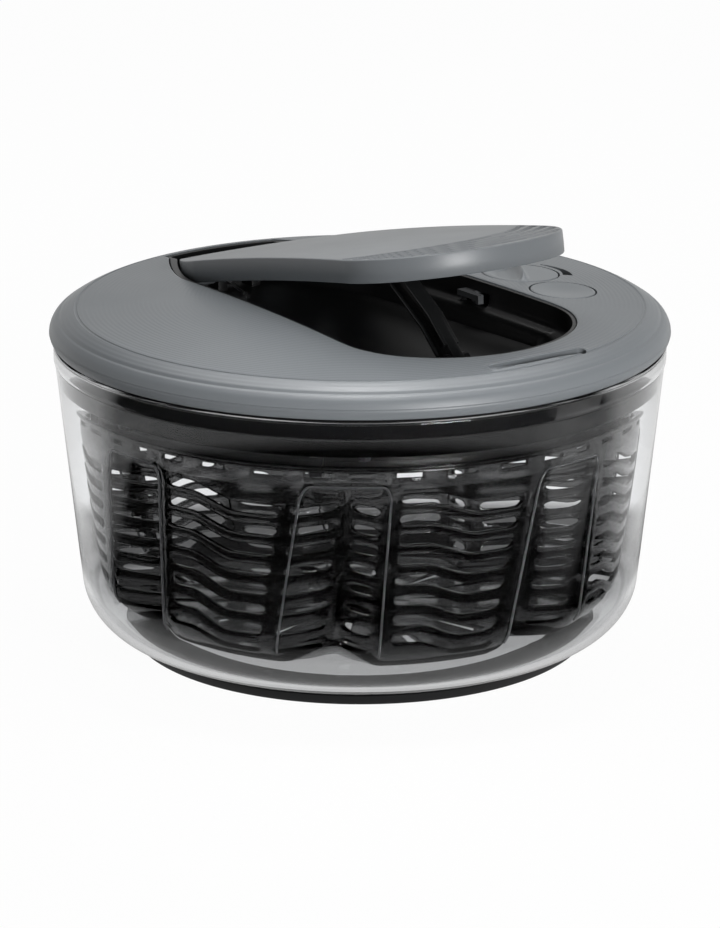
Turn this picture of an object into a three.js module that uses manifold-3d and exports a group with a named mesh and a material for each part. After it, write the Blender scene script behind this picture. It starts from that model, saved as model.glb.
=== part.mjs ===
// Lever salad spinner: a clear bowl, a slotted basket that spins in it, and a domed lid with its drive.
// Millimetres, +Z up. The origin is the middle of the foot, on the spin axis, and +X points to the
// lever's free end.

import * as THREE from 'three';
import { mergeVertices } from 'three/addons/utils/BufferGeometryUtils.js';
import Module from 'manifold-3d';

const wasm = await Module();
wasm.setup();

// Clearances
const seatGap = 0.3; // between two pieces that rest on each other
const runGap = 0.6; // round a piece that turns or slides
const leverGap = 1.0; // between the lever and the recess it drops into
const roundSides = 48; // flats on the large round pieces
const smallSides = 12; // flats on pins and screws

// Radii, each from the piece inside it, outwards from the basket
const basketRadius = 115;
const shoulderRoom = 4.9; // basket to the outside of the bowl
const rimFlare = 10.4; // bowl's shoulder to its rim
const footStep = 17.9; // bowl's shoulder in to the foot
const skirtInset = 8.5;
const lidOverhang = 1.7;
const lidStepInset = 4.3;
const lidShoulderInset = 11.5;
const screwInset = 6.8;
const plateInset = 7;
const recessInset = 4;
const leverBackInset = 9;
const hingeInset = 4.1;
const leverTipInset = 20.8;
const pourInset = 6;
const bowlShoulderRadius = basketRadius + shoulderRoom;
const bowlRimRadius = bowlShoulderRadius + rimFlare;
const footRadius = bowlShoulderRadius - footStep;
const skirtRadius = bowlRimRadius - skirtInset;
const lidRadius = bowlRimRadius + lidOverhang;
const lidStepRadius = lidRadius - lidStepInset;
const lidShoulderRadius = lidRadius - lidShoulderInset;
const lidScrewRadius = skirtRadius - screwInset;
const plateRadius = basketRadius - plateInset;
const recessBackRadius = lidShoulderRadius - recessInset;
const leverBackRadius = recessBackRadius - leverBackInset;
const hingeX = hingeInset - leverBackRadius;
const leverTipX = lidShoulderRadius - leverTipInset;
const pourX = lidShoulderRadius - pourInset;

// Foot and bowl
const footThickness = 4.9;
const footTaper = 4;
const footLip = 0.7;
const footLipWidth = 3;
const footWidth = 14;
const bowlWall = 3;
const bowlHeight = 125.2;
const bowlCorner = 24;
const bowlDraft = 0.1; // radians by which the wall leans outwards above the corner
const bowlRimBand = 7.5;
const bowlBandInset = 0.6;
const spindleRadius = 3.2;
const spindleHeight = 17.3;
const spindleBaseRadius = 9;
const spindleBaseHeight = 4;

// Lid, measured up from its lower edge
const lidLift = 1.6; // the lid's edge above the bowl's rim
const lidEdgeInset = 1.5;
const lidWidestHeight = 3.5;
const lidStepHeight = 10;
const lidShoulderHeight = 13.5;
const lidRise = 4.5; // from the shoulder to the middle
const lidWall = 2.4;
const sealThickness = 1.5;
const flangeThickness = 1.6;

// Skirt and deck under the lid
const skirtWall = 2.6;
const skirtDrop = 17;
const deckThickness = 2.4;
const mechanismHeight = 10.2;
const lidScrewAngles = [35, 92, 140, 220, 268, 325];
const bossRadius = 3.6;
const screwShank = 1.3;
const screwHead = 2.8;

// Lever and the recess under it
const leverMiddle = 5.8; // sideways offset of the lever's centre line
const leverNeckHalf = 26;
const leverNeckX = hingeX - 0.6;
const leverHipX = -63;
const leverHipHalf = 46.2;
const leverWideX = 58.4;
const leverWideHalf = 52;
const leverDepth = 9.8;
const leverWall = 2.4;
const leverRaise = THREE.MathUtils.degToRad(12.1);
const frameThickness = 1.6;
const hingeDrop = 8; // hinge line below the lid's shoulder
const hingePinRadius = 2;
const pinProud = 0.5; // how far a pin stands out of what it joins
const knuckleRadius = 4.2;
const knuckleSpan = [12, 24];
const bracketSpan = [6.5, 11.4];
const ledgeDrop = 1.1; // ledge below the closed lever's edge
const ledgeWidth = 6;
const trayWall = 1.6;
const trayFloor = 2.4;
const trayFlange = 3;
const trayLegs = [[-80, -22], [-80, 22], [62, -36], [68, 32]];
const trayLegRadius = 3;

// Link from the lever to the rack
const linkThickness = 5;
const linkWidth = 9;
const linkLength = 53;
const linkBend = 5; // how far the link's knee stands off the line between its pins
const linkPinX = 19.7; // on the closed lever
const linkPinDrop = 12.6; // below the closed lever's top there
const linkPinRadius = 1.9;
const linkSlot = 3.2; // spare length of the slot round the lower pin
const earThickness = 2.3;
const earRadius = 4.2;
const rackPinHeight = 1.7; // lower pin above the tray's floor

// Gear train
const gearModule = 1;
const pinionTeeth = 12;
const wheelTeeth = 48;
const gearLevel = 3.7; // face width of the wheel
const rackLevel = 4.4; // face width of the rack and its pinion
const rackLine = 12; // sideways place of the rack's pitch line
const rackBar = 4;
const sliderLength = 24;
const sliderPinInset = 9; // from the slider's end to the link's pin
const sliderHalf = 7;
const railThickness = 2;
const railLip = 1.4;
const shaftRadius = 2.5;
const hubRadius = 8.4;
const hubCup = 6.6;
const hubHeight = 4.2;
const hubFloor = 2;
const ratchetRadius = 4.4;
const pawlCount = 3;
const platePlay = 1.6; // deck to drive plate
const plateThickness = 2.4;
const plateScrewRadius = 5.6;
const plateScrewShank = 1.1;
const plateScrewHead = 1.5;
const clipThickness = 0.8;
const fingerCount = 4;
const fingerDepth = 6;

// Basket
const drainHeight = 8.3; // clear space under the basket
const basketWall = 2;
const basketCollar = 10.4;
const basketLip = 1.5;
const basketTaper = 6;
const basketFoot = 12;
const basketLobes = 7;
const basketTurn = THREE.MathUtils.degToRad(-38.5); // direction of the first channel
const channelDepth = 17;
const channelMouth = THREE.MathUtils.degToRad(20.5);
const channelBed = THREE.MathUtils.degToRad(11);
const slotRows = 8;
const slotPitch = 9;
const slotHeight = 3.4;
const slotLength = 44;
const slotTopDrop = 5.3; // middle of the top row below the collar
const bedSlotLength = 11;
const floorSlotWidth = 3.6;
const floorSlotFrom = 30;
const floorSlotMargin = 22; // from the floor slots' outer ends to the channels' beds
const bearingWall = 1.9;
const hubWall = 2.2;
const rimPlay = 1; // basket rim to drive plate

// Controls beside the lever
const knobX = 6.6;
const knobRadius = 16.5;
const knobRoom = 9.375; // between the lever's edge and the knob
const knobCentre = [knobX, leverMiddle + tongueHalf(knobX) + knobRadius + knobRoom];
const knobThickness = 5;
const knobGrip = 3.2;
const knobTurn = THREE.MathUtils.degToRad(151.6);
const buttonRadius = 14;
const buttonRoom = 7.598;
const belowLid = 30; // deeper than anything that hangs from the lid's surface
const controlSpacing = 2.5; // between the knob and the button
const buttonX = knobX + knobRadius + buttonRadius + controlSpacing;
const buttonCentre = [buttonX, leverMiddle + tongueHalf(buttonX) + buttonRadius + buttonRoom];
const buttonThickness = 4;
const buttonStem = 4.5;
const buttonTravel = 3;
const buttonPlay = 0.6;
const buttonCup = 12;
const cupWall = 2.1;
const padRadius = 5.5;
const padThickness = 3;
const springWire = 0.6;
const arcSlotRadius = 20.4;
const arcSlotWidth = 2.6;
const arcSlotSpan = THREE.MathUtils.degToRad(60);
const pourLength = 49;
const pourWidth = 3.6;
const pourRim = 5.6;
const pourRimDepth = 1;
const boltDrop = 5; // below the lid's surface
const boltThickness = 2.4;
const boltTravel = 6;
const boltLength = 15;
const boltArm = 8; // width of the arm through the recess's wall
const boltWidth = 2.8;
const boltWallRoom = 2.2; // between the bar and the recess's wall
const riserWall = 2;
const forkReach = 5; // the fork beyond the crank's pin
const hookDrop = 1.4;
const hookLength = 2;
const toeThickness = 1.5;

// Heights, all from the foot upwards
const bowlBottom = footThickness + seatGap;
const bowlFloor = bowlBottom + bowlWall;
const rimTop = bowlBottom + bowlHeight;
const lidBottom = rimTop + lidLift;
const lidShoulder = lidBottom + lidShoulderHeight;
const sealBottom = rimTop + seatGap;
const sealTop = sealBottom + sealThickness;
const deckBottom = lidBottom - skirtDrop;
const deckTop = deckBottom + deckThickness;
const trayUnder = deckTop + mechanismHeight;
const trayTop = trayUnder + trayFloor;
const plateTop = deckBottom - platePlay;
const plateBottom = plateTop - plateThickness;
const basketTop = plateBottom - rimPlay;
const basketBottom = bowlFloor + drainHeight;
const collarBottom = basketTop - basketCollar;
const hingeZ = lidShoulder - hingeDrop;
const spindleTop = bowlFloor + spindleHeight;

// The lid's top surface at a distance from the axis: a shallow paraboloid inside the shoulder.
function lidHeight(radius) {
  return lidShoulder + lidRise * (1 - (radius / lidShoulderRadius) ** 2);
}

const finish = (name, color, roughness, metalness = 0, opacity = 1) =>
  new THREE.MeshStandardMaterial({ name, color, roughness, metalness, opacity, transparent: opacity < 1 });

const materials = {
  clear: () => finish('clear_plastic', 0xdfe3e6, 0.05, 0, 0.35),
  smoke: () => finish('smoke_plastic', 0x17181a, 0.18, 0, 0.8),
  grey: () => finish('satin_grey', 0x777c80, 0.45),
  black: () => finish('black_plastic', 0x111214, 0.4),
  rubber: () => finish('black_rubber', 0x0c0c0d, 0.8),
  nylon: () => finish('white_nylon', 0xd9d8d2, 0.5),
  steel: () => finish('steel', 0xb9bcc0, 0.3, 1),
};

const spinner = new THREE.Group();

// A three.js geometry as a closed solid: shared corners merged, slivers at the poles dropped.
function solid(geometry) {
  geometry.deleteAttribute('normal');
  geometry.deleteAttribute('uv');
  const merged = mergeVertices(geometry, 1e-4);
  const index = merged.index.array;
  const kept = [];
  for (let i = 0; i < index.length; i += 3) {
    const [a, b, c] = [index[i], index[i + 1], index[i + 2]];
    if (a !== b && b !== c && c !== a) kept.push(a, b, c);
  }
  const vertProperties = new Float32Array(merged.attributes.position.array);
  return new wasm.Manifold(new wasm.Mesh({ numProp: 3, vertProperties, triVerts: new Uint32Array(kept) }));
}

function addPiece(name, body, material, parent = spinner) {
  const mesh = body.getMesh();
  const geometry = new THREE.BufferGeometry();
  geometry.setAttribute('position', new THREE.BufferAttribute(mesh.vertProperties, 3));
  geometry.setIndex(new THREE.BufferAttribute(mesh.triVerts, 1));
  geometry.computeVertexNormals();
  const node = new THREE.Mesh(geometry, material());
  node.name = name;
  parent.add(node);
}

// A turned solid. Its profile is [radius, height] pairs, outwards along the bottom and back over the top.
function turned(points, sides = roundSides) {
  const profile = points.map(([radius, height]) => new THREE.Vector2(radius, height));
  if (points[0][0] > 0) profile.push(profile[0].clone());
  return solid(new THREE.LatheGeometry(profile, sides).rotateX(Math.PI / 2));
}

function ring(inner, outer, bottom, top, sides = roundSides) {
  return turned([[inner, bottom], [outer, bottom], [outer, top], [inner, top]], sides);
}

function disc(radius, bottom, top, sides = roundSides) {
  return turned([[0, bottom], [radius, bottom], [radius, top], [0, top]], sides);
}

function outline(points) {
  return new THREE.Shape(points.map(([x, y]) => new THREE.Vector2(x, y)));
}

function prism(shape, bottom, top) {
  const geometry = new THREE.ExtrudeGeometry(shape, { depth: top - bottom, bevelEnabled: false });
  return solid(geometry.translate(0, 0, bottom));
}

// A box given by its lowest and highest corners.
function block(low, high) {
  const size = high.map((value, axis) => value - low[axis]);
  const middle = high.map((value, axis) => (value + low[axis]) / 2);
  return solid(new THREE.BoxGeometry(...size).translate(...middle));
}

// A round pin along Y between two sideways places.
function pinAlongY(x, z, radius, from, to, sides = smallSides) {
  const geometry = new THREE.CylinderGeometry(radius, radius, to - from, sides);
  return solid(geometry.translate(x, (from + to) / 2, z));
}

// A plate standing in the X-Z plane, centred on a sideways place.
function plateInXZ(shape, middle, thickness) {
  const geometry = new THREE.ExtrudeGeometry(shape, { depth: thickness, bevelEnabled: false });
  return solid(geometry.translate(0, 0, -thickness / 2).rotateX(Math.PI / 2).translate(0, middle, 0));
}

function arcPoints(x, y, radius, from, to, steps) {
  return Array.from({ length: steps + 1 }, (_, i) => {
    const angle = from + ((to - from) * i) / steps;
    return [x + radius * Math.cos(angle), y + radius * Math.sin(angle)];
  });
}

const joined = (...bodies) => bodies.reduce((sum, body) => sum.add(body));
const turnedBy = (body, angle) => body.rotate([0, 0, THREE.MathUtils.radToDeg(angle)]);

// A slotted screw, its head's underside at height 0 and its shank up +Z.
function screw(headRadius, headHeight, shankRadius, length) {
  const body = turned([
    [0, -headHeight], [headRadius * 0.8, -headHeight], [headRadius, 0], [shankRadius, 0],
    [shankRadius, length - shankRadius], [0, length],
  ], 8);
  const arm = headRadius * 0.6;
  const half = headRadius * 0.15;
  const depth = -headHeight * 0.5;
  return body.subtract(block([-arm, -half, -headHeight - 1], [arm, half, depth]));
}

// Non-slip ring: cupped round the foot of the bowl.
addPiece('non_slip_ring', turned([
  [footRadius - footTaper - footWidth, 0], [footRadius - footTaper, 0],
  [footRadius, footThickness + footLip], [footRadius - footLipWidth, footThickness],
  [footRadius - footTaper - footWidth, footThickness],
]), materials.rubber);

// Bowl: tapering wall, round corner, rim band, and the spindle that the basket stands on.
const bowlFoot = bowlShoulderRadius - bowlCorner;
const bandBottom = rimTop - bowlRimBand;
const cornerSteps = 4;
const cornerArc = (radius, from, to) =>
  arcPoints(bowlFoot, bowlBottom + bowlCorner, radius, from, to, cornerSteps);
const outerCorner = cornerArc(bowlCorner, -Math.PI / 2, -bowlDraft);
const innerCorner = cornerArc(bowlCorner - bowlWall, -bowlDraft, -Math.PI / 2);
addPiece('bowl', turned([
  [0, bowlBottom], ...outerCorner,
  [bowlRimRadius - bowlBandInset, bandBottom], [bowlRimRadius, bandBottom + 1], [bowlRimRadius, rimTop],
  [bowlRimRadius - bowlWall, rimTop], ...innerCorner, [0, bowlFloor],
]).add(turned([
  [0, bowlBottom + 1], [spindleBaseRadius, bowlBottom + 1], [spindleBaseRadius, bowlFloor],
  [spindleRadius + 1, bowlFloor + spindleBaseHeight], [spindleRadius, bowlFloor + spindleBaseHeight],
  [spindleRadius, spindleTop - 1], [spindleRadius - 1.2, spindleTop], [0, spindleTop],
], 16)), materials.clear);

// Basket bearing: a nylon cup over the spindle.
const bearingInner = spindleRadius + seatGap;
const bearingOuter = bearingInner + bearingWall;
const bearingFlange = bearingOuter + 2;
const bearingStep = basketBottom - seatGap;
const bearingCeiling = spindleTop + seatGap;
const bearingTop = bearingCeiling + bearingWall;
addPiece('basket_bearing', turned([
  [0, bearingCeiling], [bearingInner, bearingCeiling], [bearingInner, bearingStep - 1.3],
  [bearingFlange, bearingStep - 1.3], [bearingFlange, bearingStep], [bearingOuter, bearingStep],
  [bearingOuter, bearingTop], [0, bearingTop],
], 16), materials.nylon);

// Basket: seven convex panels with channels between them, rows of slots, a plain collar and a lip.
const bedRadius = basketRadius - channelDepth;
const lobeAngle = (2 * Math.PI) / basketLobes;

// The basket's plan, drawn in by the wall's thickness for its inner face.
function basketPlan(wall) {
  const points = [];
  for (let lobe = 0; lobe < basketLobes; lobe += 1) {
    const middle = basketTurn + lobe * lobeAngle;
    const bed = channelBed / 2 + wall / bedRadius;
    const mouth = channelMouth / 2 + wall / basketRadius;
    points.push(...arcPoints(0, 0, bedRadius - wall, middle - bed, middle + bed, 1));
    points.push(...arcPoints(0, 0, basketRadius - wall, middle + mouth, middle + lobeAngle - mouth, 3));
  }
  return outline(points);
}

// How far the wall stands in from its full radius: a straight taper, and a rounded foot.
function basketInset(height) {
  const up = height - basketBottom;
  const taper = basketTaper * (1 - up / (collarBottom - basketBottom));
  const foot = Math.max(0, 1 - up / (basketFoot * 1.2));
  return taper + basketFoot * foot ** 2;
}

function drawnIn(shape, heights) {
  const steps = heights.length - 1;
  const geometry = new THREE.ExtrudeGeometry(shape, { depth: steps, steps, bevelEnabled: false });
  const place = geometry.attributes.position;
  for (let i = 0; i < place.count; i += 1) {
    const height = heights[Math.round(place.getZ(i))];
    const radius = Math.hypot(place.getX(i), place.getY(i));
    const scale = (radius - basketInset(height)) / radius;
    place.setXYZ(i, place.getX(i) * scale, place.getY(i) * scale, height);
  }
  return solid(geometry);
}

const footHeights = [0, 3, 8, basketFoot * 1.2].map((up) => basketBottom + up);
const innerHeights = [basketWall + 0.4, 8, basketFoot * 1.2].map((up) => basketBottom + up);
const panelSlots = [];
for (let row = 0; row < slotRows; row += 1) {
  const height = collarBottom - slotTopDrop - row * slotPitch;
  const slot = (length, from, to) => block([from, -length / 2, height - slotHeight / 2],
    [to, length / 2, height + slotHeight / 2]);
  for (let lobe = 0; lobe < basketLobes; lobe += 1) {
    const channel = basketTurn + lobe * lobeAngle;
    panelSlots.push(turnedBy(slot(slotLength, bedRadius, basketRadius + 5), channel + lobeAngle / 2));
    panelSlots.push(turnedBy(slot(bedSlotLength, bedRadius - 12, bedRadius + 3), channel));
  }
}
const floorSlots = Array.from({ length: 2 * basketLobes }, (_, i) =>
  turnedBy(block([floorSlotFrom, -floorSlotWidth / 2, basketBottom - 1],
    [bedRadius - floorSlotMargin, floorSlotWidth / 2, basketBottom + basketWall + 1]), (i * lobeAngle) / 2));

const hubInner = bearingOuter + seatGap;
const hubOuter = hubInner + hubWall;
const hubCeiling = bearingTop + seatGap;
const basketHub = turned([
  [0, hubCeiling], [hubInner, hubCeiling], [hubInner, basketBottom], [hubOuter + 3, basketBottom],
  [hubOuter + 3, basketBottom + basketWall], [hubOuter, basketBottom + basketWall + 3],
  [hubOuter, hubCeiling + hubWall], [0, hubCeiling + hubWall],
], 16);
const collarInner = basketRadius - basketWall - 0.4;
const collar = turned([
  [collarInner, collarBottom - 1], [basketRadius, collarBottom - 1], [basketRadius, basketTop - 2],
  [basketRadius + basketLip, basketTop - 2], [basketRadius + basketLip, basketTop], [collarInner, basketTop],
]);

// Four fingers on the drive plate reach into the collar, each between two ribs.
const fingerOuter = collarInner - runGap;
const fingerWidth = 5;
const ribWidth = 2;
const ribPlace = fingerWidth / 2 + ribWidth / 2 + 2;
const fingerAngles = Array.from({ length: fingerCount }, (_, i) => ((i + 0.5) * 2 * Math.PI) / fingerCount);
const ribs = fingerAngles.flatMap((angle) => [-ribPlace, ribPlace].map((side) =>
  turnedBy(block([collarInner - 3, side - ribWidth / 2, collarBottom - 1],
    [collarInner + 0.5, side + ribWidth / 2, basketTop - 1]), angle)));
const basketShell = drawnIn(basketPlan(0), [...footHeights, collarBottom])
  .add(ring(bedRadius - basketWall, basketRadius, collarBottom - basketWall, collarBottom))
  .subtract(drawnIn(basketPlan(basketWall), [...innerHeights, collarBottom + 1]))
  .subtract(disc(hubInner + 1, basketBottom - 1, basketBottom + 4, 16));
addPiece('basket', joined(basketShell, basketHub, collar, ...ribs)
  .subtract(joined(...panelSlots, ...floorSlots)), materials.smoke);

// Tongue: the plan of the lever, and grown, of the recess under it. It is narrow at the hinge, flares at
// the hips, widens evenly and ends in a half ellipse.
function tongueHalf(x) {
  const flare = leverHipHalf - 0.085 * Math.max(0, leverHipX - x) ** 1.45;
  const widening = ((leverWideHalf - leverHipHalf) * Math.max(0, x - leverHipX)) / (leverWideX - leverHipX);
  return Math.max(leverNeckHalf, flare + widening);
}

function tongue(grow, neckGrow = grow) {
  const half = (x) => Math.max(tongueHalf(x + 2 * grow) + grow, leverNeckHalf + neckGrow);
  const flareSteps = [0, 0.22, 0.51, 1].map((share) => leverNeckX + share * (leverHipX - leverNeckX));
  const straight = [-lidRadius, ...flareSteps].map((x) => [x, half(x)]);
  const end = arcPoints(0, 0, 1, Math.PI / 2, -Math.PI / 2, 14).map(([across, along]) => [
    leverWideX + across * (leverTipX + grow - leverWideX), along * (leverWideHalf + grow)]);
  const side = [...straight, ...end, ...straight.map(([x, y]) => [x, -y]).reverse()];
  return outline(side.map(([x, y]) => [x, y + leverMiddle]).reverse());
}

// A layer that follows the lid's top surface, between two depths below it.
const domeRadii = [0, 60, 98, lidShoulderRadius];
function layer(upper, lower) {
  const face = (drop) => domeRadii.map((radius) => [radius, lidHeight(radius) - drop]);
  return turned([...face(lower), ...face(upper).reverse()]);
}

const aboveEverything = 2 * lidShoulder;
const tongueBody = (grow, backRadius, neckGrow = grow) =>
  prism(tongue(grow, neckGrow), deckBottom, aboveEverything)
    .intersect(disc(backRadius, deckBottom, aboveEverything));

// Controls stand square to the lid's surface: a group at the surface, turned to its slope.
function controlSeat([x, y]) {
  const radius = Math.hypot(x, y);
  const slope = Math.atan((2 * lidRise * radius) / lidShoulderRadius ** 2);
  const seat = new THREE.Group();
  seat.position.set(x, y, lidHeight(radius));
  seat.quaternion.setFromAxisAngle(new THREE.Vector3(-y / radius, x / radius, 0), slope);
  seat.updateMatrixWorld();
  spinner.add(seat);
  return seat;
}
const placedIn = (body, seat) => body.transform(Array.from(seat.matrixWorld.elements));
const knobSeat = controlSeat(knobCentre);
const buttonSeat = controlSeat(buttonCentre);

// Lid cover: the domed shell, cut for the recess, the controls, the arc slot and the pour slot.
const lidInner = lidRadius - lidEdgeInset - lidWall;
const cover = turned([
  ...domeRadii.slice(0, -1).map((radius) => [radius, lidHeight(radius) - lidWall]),
  [lidShoulderRadius - 1, lidShoulder - lidWall], [lidStepRadius - 2.2, lidBottom + lidStepHeight - 2],
  [lidInner, lidBottom + lidWidestHeight + 1], [lidInner, lidBottom],
  [lidRadius - lidEdgeInset, lidBottom], [lidRadius, lidBottom + lidWidestHeight],
  [lidStepRadius, lidBottom + lidStepHeight],
  ...domeRadii.slice().reverse().map((radius) => [radius, lidHeight(radius)]),
]);
const coverHole = tongueBody(leverGap + trayWall + seatGap, recessBackRadius + trayWall + seatGap);
const knobCupDepth = knobThickness + seatGap;
const cupBody = (radius, depth) => disc(radius + runGap + cupWall, -depth - cupWall, -0.8, 24);
const cupHole = (radius, depth) => disc(radius + runGap, -depth, 4, 24);
const knobNeck = 5;
const arcBand = (radius, width, middle, span) => outline([
  ...arcPoints(0, 0, radius + width / 2, middle - span / 2, middle + span / 2, 5),
  ...arcPoints(0, 0, radius - width / 2, middle + span / 2, middle - span / 2, 5)]);
const knobOutward = Math.atan2(knobCentre[1], knobX);
const roundEnded = (length, width) => outline([
  ...arcPoints(0, length / 2 - width / 2, width / 2, 0, Math.PI, 4),
  ...arcPoints(0, width / 2 - length / 2, width / 2, Math.PI, 2 * Math.PI, 4)]);
const pourHeight = lidHeight(pourX);
const bosses = lidScrewAngles.map((angle) => {
  const pillar = disc(bossRadius, deckTop + seatGap, lidHeight(lidScrewRadius) - 1, 8);
  const pilot = disc(screwShank + seatGap, deckTop, deckTop + 11, 8);
  return turnedBy(pillar.subtract(pilot).translate([lidScrewRadius, 0, 0]), THREE.MathUtils.degToRad(angle));
});
const cupRoom = joined(
  placedIn(cupHole(knobRadius, knobCupDepth), knobSeat),
  placedIn(disc(knobNeck + runGap, -belowLid, 0, 16), knobSeat),
  placedIn(cupHole(buttonRadius, buttonCup), buttonSeat),
  placedIn(disc(buttonStem + runGap, -belowLid, 0, 16), buttonSeat),
  placedIn(prism(arcBand(arcSlotRadius, arcSlotWidth, knobOutward, arcSlotSpan), -6, 4), knobSeat),
  prism(roundEnded(pourLength, pourWidth), pourHeight - 10, pourHeight + 4).translate([pourX, leverMiddle, 0]),
  prism(roundEnded(pourLength + 2, pourRim), pourHeight - pourRimDepth, pourHeight + 4)
    .translate([pourX, leverMiddle, 0]),
);
const cups = joined(
  placedIn(cupBody(knobRadius, knobCupDepth), knobSeat),
  placedIn(cupBody(buttonRadius, buttonCup), buttonSeat),
);
addPiece('lid_cover', joined(cover, cups, ...bosses).subtract(coverHole).subtract(cupRoom), materials.grey);

// Lid base: the deck under the drive, the skirt round it and the flange that carries the seal.
const flangeBottom = sealTop + seatGap;
const flangeTop = flangeBottom + flangeThickness;
const flangeRadius = lidInner - seatGap;
const hubHole = hubRadius + runGap;
const buttonAxis = new THREE.Vector3(0, 0, 1).applyQuaternion(buttonSeat.quaternion);
const padBottom = plateTop + buttonTravel + buttonPlay;
const stemLength = (buttonSeat.position.z - padBottom - padThickness - seatGap) / buttonAxis.z;
const padPlace = buttonSeat.position.clone().addScaledVector(buttonAxis, -stemLength);
const deckHoles = lidScrewAngles.map((angle) => turnedBy(
  disc(screwShank + seatGap, deckBottom - 1, deckTop + 1, 8).translate([lidScrewRadius, 0, 0]),
  THREE.MathUtils.degToRad(angle),
));
addPiece('lid_base', turned([
  [hubHole, deckBottom], [skirtRadius, deckBottom], [skirtRadius, flangeBottom],
  [flangeRadius, flangeBottom], [flangeRadius, flangeTop], [skirtRadius - skirtWall, flangeTop],
  [skirtRadius - skirtWall, deckTop], [hubHole, deckTop],
]).subtract(joined(
  ...deckHoles,
  disc(padRadius + runGap + 0.4, deckBottom - 1, deckTop + 1, 16).translate([padPlace.x, padPlace.y, 0]),
)), materials.black);

addPiece('lid_seal', ring(skirtRadius + seatGap, flangeRadius, sealBottom, sealTop),
  materials.rubber);

lidScrewAngles.forEach((angle, i) => {
  const body = screw(screwHead, 1.9, screwShank, deckThickness + 9);
  const placed = body.translate([lidScrewRadius, 0, deckBottom - seatGap]);
  addPiece(`lid_screw_${i + 1}`, turnedBy(placed, THREE.MathUtils.degToRad(angle)), materials.steel);
});

// Linkage, worked out from its pins: the upper pin swings with the lever, the lower one slides along X.
const hinge = new THREE.Vector2(hingeX, hingeZ);
const upperPinClosed = new THREE.Vector2(linkPinX, lidHeight(linkPinX) - linkPinDrop);
const upperPin = upperPinClosed.clone().rotateAround(hinge, leverRaise);
const lowerPinZ = trayTop + rackPinHeight;
const reach = (pin) => pin.x + Math.sqrt(linkLength ** 2 - (pin.y - lowerPinZ) ** 2);
const lowerPin = new THREE.Vector2(reach(upperPin), lowerPinZ);
const rackTravel = reach(upperPinClosed) - lowerPin.x;

// Gears: straight-sided teeth, thinned a little so that they run freely.
const addendum = 0.9 * gearModule;
const dedendum = 1.2 * gearModule;
const toothPitch = Math.PI * gearModule;
const rootShare = 0.6;
const tipShare = 0.24;
function gearShape(teeth, bore, phase) {
  const pitchRadius = (teeth * gearModule) / 2;
  const step = (2 * Math.PI) / teeth;
  const points = [];
  for (let tooth = 0; tooth < teeth; tooth += 1) {
    const middle = phase + tooth * step;
    const corner = (radius, share) => points.push([radius * Math.cos(middle + (share * step) / 2),
      radius * Math.sin(middle + (share * step) / 2)]);
    corner(pitchRadius - dedendum, -rootShare);
    corner(pitchRadius + addendum, -tipShare);
    corner(pitchRadius + addendum, tipShare);
    corner(pitchRadius - dedendum, rootShare);
  }
  const shape = outline(points);
  shape.holes.push(new THREE.Path(arcPoints(0, 0, bore, 0, 2 * Math.PI, 10).slice(0, -1).reverse()
    .map(([x, y]) => new THREE.Vector2(x, y))));
  return shape;
}
const pinionRadius = (pinionTeeth * gearModule) / 2;
const wheelRadius = (wheelTeeth * gearModule) / 2;
const transferY = rackLine + pinionRadius;
const transferX = Math.sqrt((wheelRadius + pinionRadius) ** 2 - transferY ** 2);
const transferAngle = Math.atan2(transferY, transferX);
const wheelBottom = deckTop + runGap + seatGap;
const wheelTop = wheelBottom + gearLevel;
const sliderTop = trayUnder - seatGap;
const sliderBottom = sliderTop - rackLevel;
const shaftBore = shaftRadius + seatGap;

// Recess tray: a wall and ledge round the lever, a basin for the link, hinge brackets and the rack's rails.
const ledge = leverDepth + ledgeDrop;
const basinGrow = leverGap - ledgeWidth;
const sliderFrom = lowerPin.x - sliderPinInset;
const sliderTo = sliderFrom + sliderLength;
const railFrom = sliderFrom + 0.4;
const railTo = sliderTo + rackTravel;
const earInner = linkThickness / 2 + runGap;
const earOuter = earInner + earThickness;
const [bracketFrom, bracketTo] = bracketSpan;
const bothSides = (from, to, make) => joined(
  make(leverMiddle + from, leverMiddle + to), make(leverMiddle - to, leverMiddle - from));
const brackets = bothSides(bracketFrom, bracketTo, (from, to) => joined(
  pinAlongY(hingeX, hingeZ, knuckleRadius, from, to, 16),
  block([hingeX - knuckleRadius, from, trayTop - 1], [hingeX + knuckleRadius, to, hingeZ]),
));
const railSide = sliderHalf + runGap;
const rails = bothSides(railSide, railSide + railThickness, (from, to) =>
  block([railFrom, from, sliderBottom - seatGap - railLip], [railTo, to, trayUnder + 0.5]));
const lips = bothSides(railSide - 2, railSide + 1, (from, to) =>
  block([railFrom, from, sliderBottom - seatGap - railLip], [railTo, to, sliderBottom - seatGap]));
const trayWalls = tongueBody(leverGap + trayWall, recessBackRadius + trayWall)
  .intersect(layer(0.5, ledge + 2));
const basin = tongueBody(basinGrow + trayWall, recessBackRadius + trayWall, leverGap + trayWall)
  .intersect(disc(lidRadius, trayUnder, lidBottom + 2)).add(
    tongueBody(basinGrow + trayWall, recessBackRadius + trayWall, leverGap + trayWall)
      .intersect(layer(ledge + 0.5, ledge + 6)));
const flangeDepth = lidWall + seatGap;
const trayRim = tongueBody(leverGap + trayWall + trayFlange, recessBackRadius + trayWall)
  .intersect(layer(flangeDepth, flangeDepth + trayWall))
  .subtract(placedIn(disc(knobRadius + runGap + cupWall + seatGap, -20, 2, 24), knobSeat))
  .subtract(placedIn(disc(buttonRadius + runGap + cupWall + seatGap, -20, 2, 24), buttonSeat));
const legs = trayLegs.map(([x, y]) =>
  disc(trayLegRadius, deckTop + seatGap, trayUnder + 0.5, 8).translate([x, y + leverMiddle, 0]));
const recessRoom = tongueBody(leverGap, recessBackRadius).intersect(layer(-9, ledge));
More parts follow.
